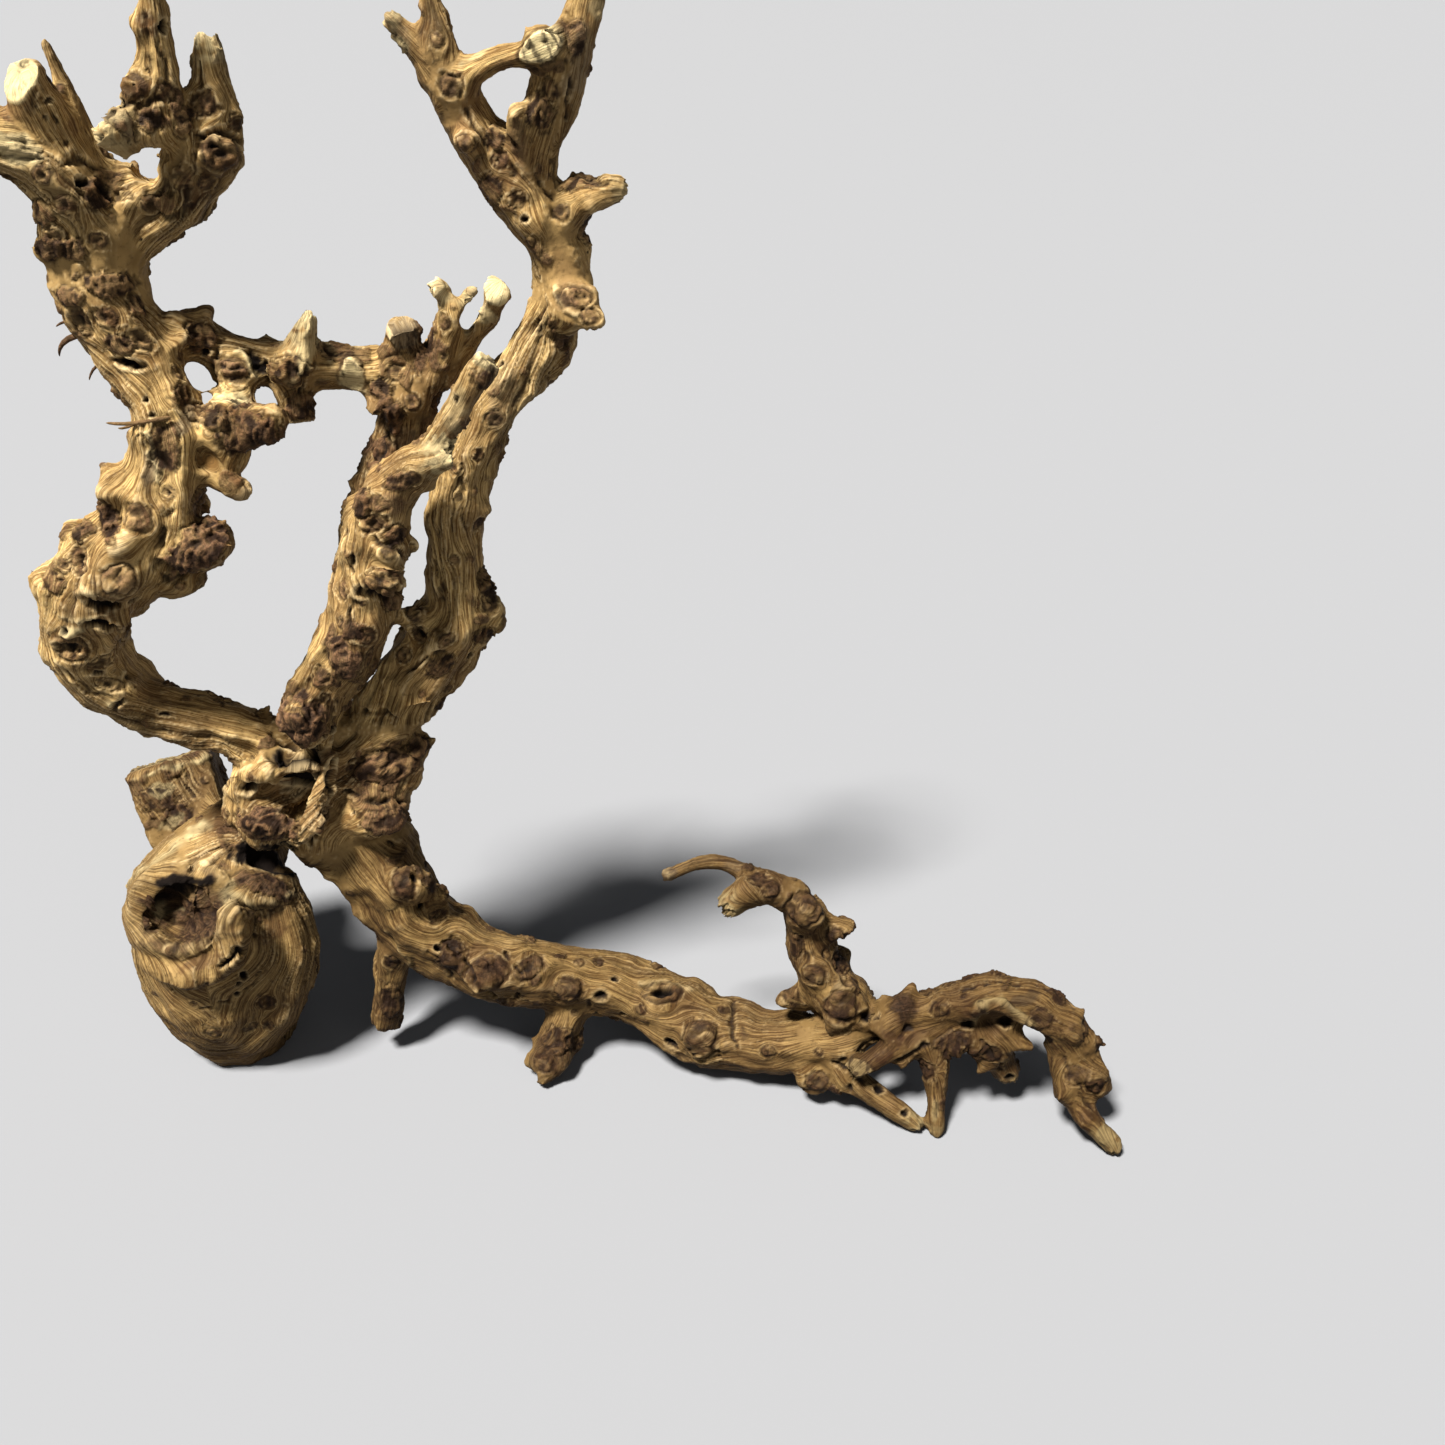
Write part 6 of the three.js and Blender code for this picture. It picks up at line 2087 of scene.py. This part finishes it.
    def carve(self) -> Flow:
        """Carves marks, fibres and bark into the fine skin, and keeps the colour masks, painted shade and
        highlight among them.

        Returns:
            The flow of the fibres over the skin.
        """
        canvas = Canvas(self.points(), self.normals(), self.point_limbs(), self.noise)
        self.press_marks(canvas)
        self.move(canvas.points + canvas.normals * canvas.lift[:, None] + canvas.shift)
        flow = self.grain.lay(canvas.points + canvas.bend, self.point_limbs())
        bark = self.crust(canvas, flow)
        masks = canvas.masks
        size = np.clip(flow.girth / 8.0, 0.35, 1.1)
        quiet = (1.0 - 0.85 * canvas.calm) * (1.0 - 0.75 * masks["bark"])
        grit = 0.1 * self.noise.at(canvas.points, 1.5, 55) + 0.09 * self.noise.at(canvas.points, 0.9, 56)
        lift = size * quiet * flow.relief * 1.15 + bark + grit * (1.0 + 1.2 * masks["bark"])
        points = self.points() + self.normals() * lift[:, None]
        low = np.array(cad_box[0]) / MM
        high = np.array(cad_box[1]) / MM
        self.move(np.clip(points, low, high))
        # Painted shade and highlight: points lying below the skin around them are darkened through the
        # groove mask, points on crests and edges are lightened through the mask for crests, which also
        # stands for worn wood
        small = self.dip(2)
        large = self.dip(14)
        shade = np.maximum(0.85 * smooth(0.04, 0.22, small), 0.9 * smooth(0.2, 0.95, large))
        masks["groove"] = np.maximum(masks["groove"], shade)
        masks["worn_and_highlit"] = np.maximum(0.6 * smooth(0.03, 0.17, -small), 0.8 * smooth(0.15, 0.8, -large))
        # Painted shade: downward-facing skin gets a larger dark share, on top of each limb's own dark share
        under = smooth(0.2, -0.7, canvas.normals[:, 2])
        masks["dark"] = np.clip(np.maximum(masks["dark"], flow.dark) + 0.55 * under, 0.0, 1.0)
        patches = self.noise.at(canvas.points, 21.0, 57) + 0.5 * self.noise.at(canvas.points, 8.0, 58)
        masks["tone"] = np.clip(np.maximum(masks["tone"], flow.tone + 0.45 * patches), 0.0, 1.0)
        masks["groove"] = np.clip(np.maximum(masks["groove"], flow.groove * quiet), 0.0, 1.0)
        self.masks = {**masks, "sure": flow.sure}
        return flow

    def dip(self, passes: int) -> Array:
        """How far each point lies below the skin around it.

        Args:
            passes: how far around it the skin is evened out.

        Returns:
            The depth in millimetres, below zero on an edge or a crest.
        """
        faces = self.corners()
        first = faces.ravel()
        second = np.roll(faces, -1, axis=1).ravel()
        points = self.points()
        count = len(points)
        degree = np.bincount(first, minlength=count) + np.bincount(second, minlength=count)
        even = points.copy()
        for _ in range(passes):
            forth = np.stack([np.bincount(first, even[second, axis], count) for axis in range(3)], axis=1)
            back = np.stack([np.bincount(second, even[first, axis], count) for axis in range(3)], axis=1)
            even = 0.4 * even + 0.6 * (forth + back) / np.maximum(degree, 1)[:, None]
        return ((even - points) * self.normals()).sum(axis=1)

    def part(self, flow: Flow) -> dict[str, Piece]:
        """Parts the skin into closed pieces, one for each limb.

        Args:
            flow: the flow of the fibres.

        Returns:
            The pieces by the name of the limb.
        """
        points = self.points() * MM
        faces = self.corners()
        labels = self.face_limbs()
        pieces = {}
        for number, limb in enumerate(self.limbs):
            chosen = faces[labels == number]
            used, local = np.unique(chosen, return_inverse=True)
            mesh = bpy.data.meshes.new(f"{limb.node}_wood")
            mesh.from_pydata(points[used], [], local.reshape(-1, 4))
            for name, values in self.masks.items():
                layer = mesh.attributes.new(name, "FLOAT", "POINT")
                layer.data.foreach_set("value", values[used].astype(np.float32))
            along = mesh.attributes.new("along", "FLOAT_VECTOR", "POINT")
            along.data.foreach_set("vector", flow.along[used].astype(np.float32).ravel())
            piece = bpy.data.objects.new(f"{limb.node}_wood", mesh)
            bpy.context.scene.collection.objects.link(piece)
            mesh.polygons.foreach_set("use_smooth", np.ones(len(mesh.polygons), dtype=bool))
            self.close(piece)
            self.add_twigs(piece, limb)
            pieces[limb.node] = piece
        bpy.data.objects.remove(self.body)
        return pieces

    def add_twigs(self, piece: Piece, limb: Limb) -> None:
        """Joins the limb's thin twigs to its piece.

        Args:
            piece: the closed piece.
            limb: the limb with its twigs.
        """
        if not limb.twigs:
            return
        pick(piece, *[twig.build() for twig in limb.twigs])
        bpy.ops.object.join()

    def close(self, piece: Piece) -> None:
        """Closes the places where a piece meets its neighbours.

        Args:
            piece: the open piece.
        """
        pick(piece)
        bpy.ops.object.mode_set(mode="EDIT")
        bpy.ops.mesh.select_mode(type="EDGE")
        bpy.ops.mesh.select_all(action="DESELECT")
        bpy.ops.mesh.select_non_manifold(extend=False, use_wire=False, use_boundary=True, use_verts=False,
                                         use_multi_face=False, use_non_contiguous=False)
        bpy.ops.mesh.mark_sharp()
        bpy.ops.mesh.fill_holes(sides=0)
        bpy.ops.mesh.select_mode(type="FACE")
        bpy.ops.mesh.select_all(action="DESELECT")
        bpy.ops.object.mode_set(mode="OBJECT")
        for face in piece.data.polygons:
            face.select = len(face.vertices) > 4
        bpy.ops.object.mode_set(mode="EDIT")
        bpy.ops.mesh.poke(offset=-self.DINT * MM, use_relative_offset=False, center_mode="MEDIAN")
        bpy.ops.mesh.select_mode(type="VERT")
        bpy.ops.mesh.select_all(action="DESELECT")
        bpy.ops.object.mode_set(mode="OBJECT")


class Graph:
    """A shader tree with short ways to add and join its nodes."""

    def __init__(self, tree: ShaderTree) -> None:
        """Starts from an existing tree."""
        self.tree = tree

    def add(self, kind: str, links: dict | None = None, **settings: object) -> bpy.types.Node:
        """Adds a node.

        Args:
            kind: Blender's name of the node.
            links: for each input, by name or number, a socket to join or a value.
            settings: the node's own settings.

        Returns:
            The node.
        """
        node = self.tree.nodes.new(kind)
        for name, value in settings.items():
            setattr(node, name, value)
        for name, value in (links or {}).items():
            if isinstance(value, Socket):
                self.join(value, node.inputs[name])
            else:
                node.inputs[name].default_value = value
        return node

    def join(self, source: Socket, target: Socket) -> None:
        """Joins two sockets."""
        self.tree.links.new(source, target)

    def sum(self, operation: str, first: object, second: object = 0.0, clamp: bool = False,
            third: object = 0.0) -> Socket:
        """A Math node's result.

        Args:
            operation: what it does.
            first: its first value or socket.
            second: its second value or socket.
            clamp: whether the result stays from 0 to 1.
            third: its third value or socket, where it has one.

        Returns:
            The result's socket.
        """
        links = {0: first, 1: second, 2: third}
        return self.add("ShaderNodeMath", links, operation=operation, use_clamp=clamp).outputs[0]

    def blend(self, share: object, low: object, high: object, kind: str = "MIX") -> Socket:
        """Mixes two colours.

        Args:
            share: how much of the second one shows.
            low: the first colour or socket.
            high: the second colour or socket.
            kind: Blender's name of the way to mix.

        Returns:
            The colour's socket.
        """
        node = self.add("ShaderNodeMix", {0: share, 6: low, 7: high}, data_type="RGBA", blend_type=kind)
        return node.outputs[2]

    def cloud(self, vector: object, scale: float, detail: float, rough: float) -> Socket:
        """A noise texture's value.

        Args:
            vector: where it is read.
            scale: how fine it is.
            detail: how many finer layers it has.
            rough: how strong they are.

        Returns:
            The value's socket.
        """
        links = {"Vector": vector, "Scale": scale, "Detail": detail, "Roughness": rough}
        return self.add("ShaderNodeTexNoise", links).outputs["Fac"]

    def span(self, value: object, low: float, high: float, start: float = 0.0, end: float = 1.0) -> Socket:
        """A value moved smoothly from one span to another.

        Args:
            value: the socket to read.
            low: where the first span starts.
            high: where it ends.
            start: where the second span starts.
            end: where it ends.

        Returns:
            The value's socket.
        """
        links = {"Value": value, "From Min": low, "From Max": high, "To Min": start, "To Max": end}
        return self.add("ShaderNodeMapRange", links, interpolation_type="SMOOTHSTEP").outputs[0]

    def broken(self, share: object, pattern: object, least: float, most: float = 1.0) -> Socket:
        """A share that a pattern thins out, from the least of it to the most."""
        return self.sum("MULTIPLY", share, self.span(pattern, 0.0, 1.0, least, most))

    def stretched(self, vector: object, factors: Rgb) -> Socket:
        """A vector with each of its values multiplied."""
        return self.add("ShaderNodeVectorMath", {0: vector, 1: factors}, operation="MULTIPLY").outputs[0]


def new_group(name: str, inputs: dict[str, str], outputs: tuple[str, ...]) -> tuple[Graph, dict, dict]:
    """An empty shader group with named sockets.

    Args:
        name: its name.
        inputs: the kind of each input by its name.
        outputs: the names of its outputs, which are plain numbers.

    Returns:
        The group's graph, its input sockets and its output sockets.
    """
    group = bpy.data.node_groups.new(name, "ShaderNodeTree")
    for label, kind in inputs.items():
        group.interface.new_socket(name=label, in_out="INPUT", socket_type=kind)
    for label in outputs:
        group.interface.new_socket(name=label, in_out="OUTPUT", socket_type="NodeSocketFloat")
    graph = Graph(group)
    start = graph.add("NodeGroupInput")
    end = graph.add("NodeGroupOutput")
    return graph, dict(start.outputs.items()), dict(end.inputs.items())


def streak_group() -> ShaderTree:
    """Fine fibres that run along the limbs and round the knots.

    Returns:
        A group that puts out fine streaks, broad bands, thin dark lines and the height of the fibres.
    """
    sockets = {"Along": "NodeSocketVector", "Sure": "NodeSocketFloat"}
    graph, given, wanted = new_group("fibre_streaks", sockets, ("Streak", "Band", "Line", "Height"))
    fine = graph.stretched(given["Along"], (1.5, 1.5, 0.085))
    broad = graph.stretched(given["Along"], (0.3, 0.3, 0.02))
    streak = graph.span(graph.cloud(fine, 1.0, 5.0, 0.7), 0.37, 0.63)
    middle = graph.cloud(fine, 0.42, 3.0, 0.6)
    offset = graph.sum("ABSOLUTE", graph.sum("SUBTRACT", middle, 0.5))
    line = graph.span(offset, 0.0, 0.035, 1.0, 0.0)
    graph.join(graph.sum("MULTIPLY", line, given["Sure"]), wanted["Line"])
    band = graph.span(graph.cloud(broad, 1.0, 2.0, 0.5), 0.36, 0.64)
    for name, value in (("Streak", streak), ("Band", band)):
        links = {0: given["Sure"], 2: 0.5, 3: value}
        faded = graph.add("ShaderNodeMix", links, data_type="FLOAT").outputs[0]
        graph.join(faded, wanted[name])
    height = graph.sum("SUBTRACT", graph.cloud(fine, 1.3, 4.0, 0.7), graph.sum("MULTIPLY", line, 0.25))
    graph.join(graph.sum("MULTIPLY", height, given["Sure"]), wanted["Height"])
    return graph.tree


def grime_group() -> ShaderTree:
    """Uneven patches and specks that don't follow the fibres.

    Returns:
        A group that puts out patches, specks and the height of a rough grain.
    """
    sockets = {"Place": "NodeSocketVector"}
    graph, given, wanted = new_group("patches_and_specks", sockets, ("Patch", "Speck", "Height"))
    place = given["Place"]
    graph.join(graph.span(graph.cloud(place, 62.0, 4.0, 0.6), 0.36, 0.62), wanted["Patch"])
    graph.join(graph.span(graph.cloud(place, 520.0, 3.0, 0.6), 0.56, 0.7), wanted["Speck"])
    graph.join(graph.cloud(place, 900.0, 4.0, 0.7), wanted["Height"])
    return graph.tree


@dataclass(frozen=True)
class WoodFinish:
    """Weathered root wood: the colours of its fibres, furrows, knots, bark and broken ends, with painted
    shade and highlight.
    """

    slot: Slot
    light: Rgb = (0.55, 0.37, 0.142)
    middle: Rgb = (0.14, 0.073, 0.02)
    # Near-black for the groove mask: painted shade in creases, partly the wood's dark grain
    furrow: Rgb = (0.008, 0.003, 0.001)
    # Pale colour of crests and edges: partly worn wood, partly painted highlight
    worn_and_highlit: Rgb = (0.76, 0.58, 0.31)
    brown: Rgb = (0.08, 0.037, 0.013)
    knot: Rgb = (0.088, 0.046, 0.026)
    bark: Rgb = (0.032, 0.017, 0.009)
    pale: Rgb = (0.53, 0.43, 0.22)
    # Near-black painted shade inside holes, clefts and gaps
    hollow: Rgb = (0.005, 0.003, 0.002)
    grey: Rgb = (0.14, 0.11, 0.078)
    rough: Size = (0.62, 0.86)
    # Painted shade: the tint multiplied over the low limbs and the downward-facing skin
    soaked: Rgb = (0.25, 0.22, 0.18)
    relief: float = 0.6
    relief_depth: float = 0.5
    shine: float = 0.1

    def colour(self, rgb: Rgb, factor: float = 1.0) -> Rgba:
        """A colour with its fourth value, made lighter or darker."""
        return (rgb[0] * factor, rgb[1] * factor, rgb[2] * factor, 1.0)

    def build(self, streaks: ShaderTree, grime: ShaderTree) -> bpy.types.Material:
        """Makes the material.

        Args:
            streaks: the group with the fibres.
            grime: the group with patches and specks.

        Returns:
            The material.
        """
        material = bpy.data.materials.new(self.slot.value)
        material.use_nodes = True
        graph = Graph(material.node_tree)
        principled = material.node_tree.nodes["Principled BSDF"]
        mask = {}
        for name in (*MASKS, "sure"):
            mask[name] = graph.add("ShaderNodeAttribute", attribute_name=name).outputs["Fac"]
        along = graph.add("ShaderNodeAttribute", attribute_name="along").outputs["Vector"]
        place = graph.add("ShaderNodeTexCoord").outputs["Object"]
        fibre = graph.add("ShaderNodeGroup", node_tree=streaks)
        graph.join(along, fibre.inputs["Along"])
        graph.join(mask["sure"], fibre.inputs["Sure"])
        dirt = graph.add("ShaderNodeGroup", node_tree=grime)
        graph.join(place, dirt.inputs["Place"])
        base = self.tint(graph, mask, fibre.outputs, dirt.outputs)
        graph.join(base, principled.inputs["Base Color"])
        rough = graph.span(fibre.outputs["Streak"], 0.0, 1.0, self.rough[1], self.rough[0])
        graph.join(graph.sum("MAXIMUM", rough, mask["hollow"]), principled.inputs["Roughness"])
        principled.inputs["Specular IOR Level"].default_value = self.shine
        crusty = graph.sum("MAXIMUM", mask["knot"], mask["bark"])
        coarse = graph.sum("MULTIPLY_ADD", crusty, 2.0, third=0.5)
        grain = graph.sum("MULTIPLY", dirt.outputs["Height"], coarse)
        height = graph.sum("ADD", fibre.outputs["Height"], grain)
        links = {"Height": height, "Strength": self.relief, "Distance": self.relief_depth * MM}
        graph.join(graph.add("ShaderNodeBump", links).outputs[0], principled.inputs["Normal"])
        return material

    def tint(self, graph: Graph, mask: dict[str, Socket], fibre: Items, dirt: Items) -> Socket:
        """Lays the colours over each other, from the bare fibres to the painted shade of the hollows.

        Args:
            graph: the material's shader tree.
            mask: the masks on the skin by name.
            fibre: the outputs of the group with the fibres.
            dirt: the outputs of the group with patches and specks.

        Returns:
            The colour's socket.
        """
        streak = fibre["Streak"]
        patch = dirt["Patch"]
        base = graph.blend(streak, self.colour(self.middle), self.colour(self.light))
        banded = graph.sum("MULTIPLY", fibre["Band"], 0.42)
        base = graph.blend(banded, base, self.colour(self.middle, 0.72))
        browned = graph.broken(mask["tone"], patch, 0.55)
        brown = graph.blend(streak, self.colour(self.brown, 0.7), self.colour(self.brown, 1.6))
        base = graph.blend(browned, base, brown)
        greyed = graph.broken(mask["grey"], streak, 0.4, 0.9)
        base = graph.blend(greyed, base, self.colour(self.grey))
        grainy = graph.span(dirt["Height"], 0.36, 0.64)
        knotted = graph.broken(mask["knot"], patch, 0.6, 0.95)
        red = graph.blend(grainy, self.colour(self.knot, 0.4), self.colour(self.knot, 1.7))
        base = graph.blend(knotted, base, red)
        barked = graph.broken(mask["bark"], patch, 0.72)
        bark = graph.blend(grainy, self.colour(self.bark, 0.4), self.colour(self.bark, 2.8))
        red_bark = graph.blend(mask["knot"], bark, red)
        base = graph.blend(barked, base, red_bark)
        paled = graph.broken(mask["pale"], streak, 0.78)
        base = graph.blend(paled, base, self.colour(self.pale))
        # Painted highlight, partly worn wood: crests are lightened, and crests of bark get a lighter brown
        plain = graph.sum("SUBTRACT", graph.sum("SUBTRACT", 0.62, mask["bark"], True), mask["knot"], True)
        worn_and_highlit = graph.sum("MULTIPLY", mask["worn_and_highlit"], plain)
        base = graph.blend(worn_and_highlit, base, self.colour(self.worn_and_highlit))
        crust_worn_and_highlit = graph.sum("MULTIPLY", graph.sum("MULTIPLY", mask["worn_and_highlit"], mask["bark"]), 0.4)
        base = graph.blend(crust_worn_and_highlit, base, self.colour(self.brown, 2.2))
        # Painted shade: the dark mask multiplies the low limbs and the downward-facing skin by the shade
        # tint
        base = graph.blend(mask["dark"], base, self.colour(self.soaked), "MULTIPLY")
        # Painted shade, partly dark grain: the groove mask and the fibre lines darken towards near-black
        lined = graph.sum("MULTIPLY", fibre["Line"], 0.5)
        furrowed = graph.sum("MULTIPLY", graph.sum("MAXIMUM", mask["groove"], lined), 0.92, True)
        base = graph.blend(furrowed, base, self.colour(self.furrow))
        specked = graph.sum("MULTIPLY", dirt["Speck"], 0.35)
        base = graph.blend(specked, base, self.colour(self.furrow, 1.3))
        # Painted shade: holes, clefts and the gaps under the hub are near-black
        return graph.blend(mask["hollow"], base, self.colour(self.hollow))


@dataclass(frozen=True)
class Lamp:
    """A broad far lamp: the way to it, how wide it looks in degrees, its power and its colour."""

    name: str
    toward: Place
    width: float
    power: float
    colour: Rgb = (1.0, 1.0, 1.0)

    def build(self) -> None:
        """Hangs the lamp."""
        data = bpy.data.lights.new(self.name, "SUN")
        data.angle = float(np.radians(self.width))
        data.energy = self.power
        data.color = self.colour
        lamp = bpy.data.objects.new(self.name, data)
        lamp.location = self.toward
        lamp.rotation_euler = (-Vector(self.toward)).to_track_quat("-Z", "Y").to_euler()
        bpy.context.scene.collection.objects.link(lamp)


@dataclass(frozen=True)
class Studio:
    """A plain pale floor under soft lamps."""

    floor_side: float = 24.0
    floor_colour: Rgba = (0.166, 0.169, 0.175, 1.0)
    floor_rough: float = 0.9
    sky: Rgba = (0.74, 0.77, 0.82, 1.0)
    sky_strength: float = 0.15
    lamps: tuple[Lamp, ...] = (
        Lamp("top_lamp", (-0.33, -0.35, 0.95), 11.0, 13.5, (1.0, 0.98, 0.95)),
        Lamp("side_lamp", (0.5, -0.7, 0.45), 40.0, 0.3),
    )

    def build(self) -> None:
        """Lays the floor, hangs the lamps and lights the sky."""
        bpy.ops.object.select_all(action="DESELECT")
        bpy.ops.mesh.primitive_plane_add(size=self.floor_side, location=(0, 0, 0))
        floor = bpy.context.active_object
        floor.name = "pale_floor"
        material = bpy.data.materials.new("pale_floor")
        material.use_nodes = True
        principled = material.node_tree.nodes["Principled BSDF"]
        principled.inputs["Base Color"].default_value = self.floor_colour
        principled.inputs["Roughness"].default_value = self.floor_rough
        floor.data.materials.append(material)
        for lamp in self.lamps:
            lamp.build()
        world = bpy.data.worlds.new("soft_sky")
        world.use_nodes = True
        background = world.node_tree.nodes["Background"]
        background.inputs["Color"].default_value = self.sky
        background.inputs["Strength"].default_value = self.sky_strength
        bpy.context.scene.world = world
        bpy.context.scene.view_settings.view_transform = "Standard"


def all_limbs() -> list[Limb]:
    """Every limb of the root, from the foot up and out."""
    return [
        RootBurl(), SawnStub(), KnottedHub(), LeftLimb(), MiddleLimb(), RightLimb(), RearStem(),
        BridgeLimb(), LeftCrown(), CrownFork(), RightCrown(), LowLimb(), HookBranch(), FootSpray(),
    ]


def main() -> None:
    """Builds the studio and the root, limb by limb."""
    logging.basicConfig(level=logging.INFO, format="%(message)s")
    camera = PhotoCamera()
    camera.build()
    Studio().build()
    limbs = all_limbs()
    skin = Skin(limbs, camera, Noise(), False)
    skin.fuse()
    skin.label()
    skin.roughen()
    skin.refine()
    pieces = skin.part(skin.carve())
    streaks = streak_group()
    grime = grime_group()
    finishes = {slot: WoodFinish(slot).build(streaks, grime) for slot in Slot}
    for limb in limbs:
        piece = pieces[limb.node]
        piece.data.materials.append(finishes[limb.slot])
        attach(piece, "root")
        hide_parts(limb.node)
        log.info("%s: %d faces", piece.name, len(piece.data.polygons))


if __name__ == "__main__":
    main()
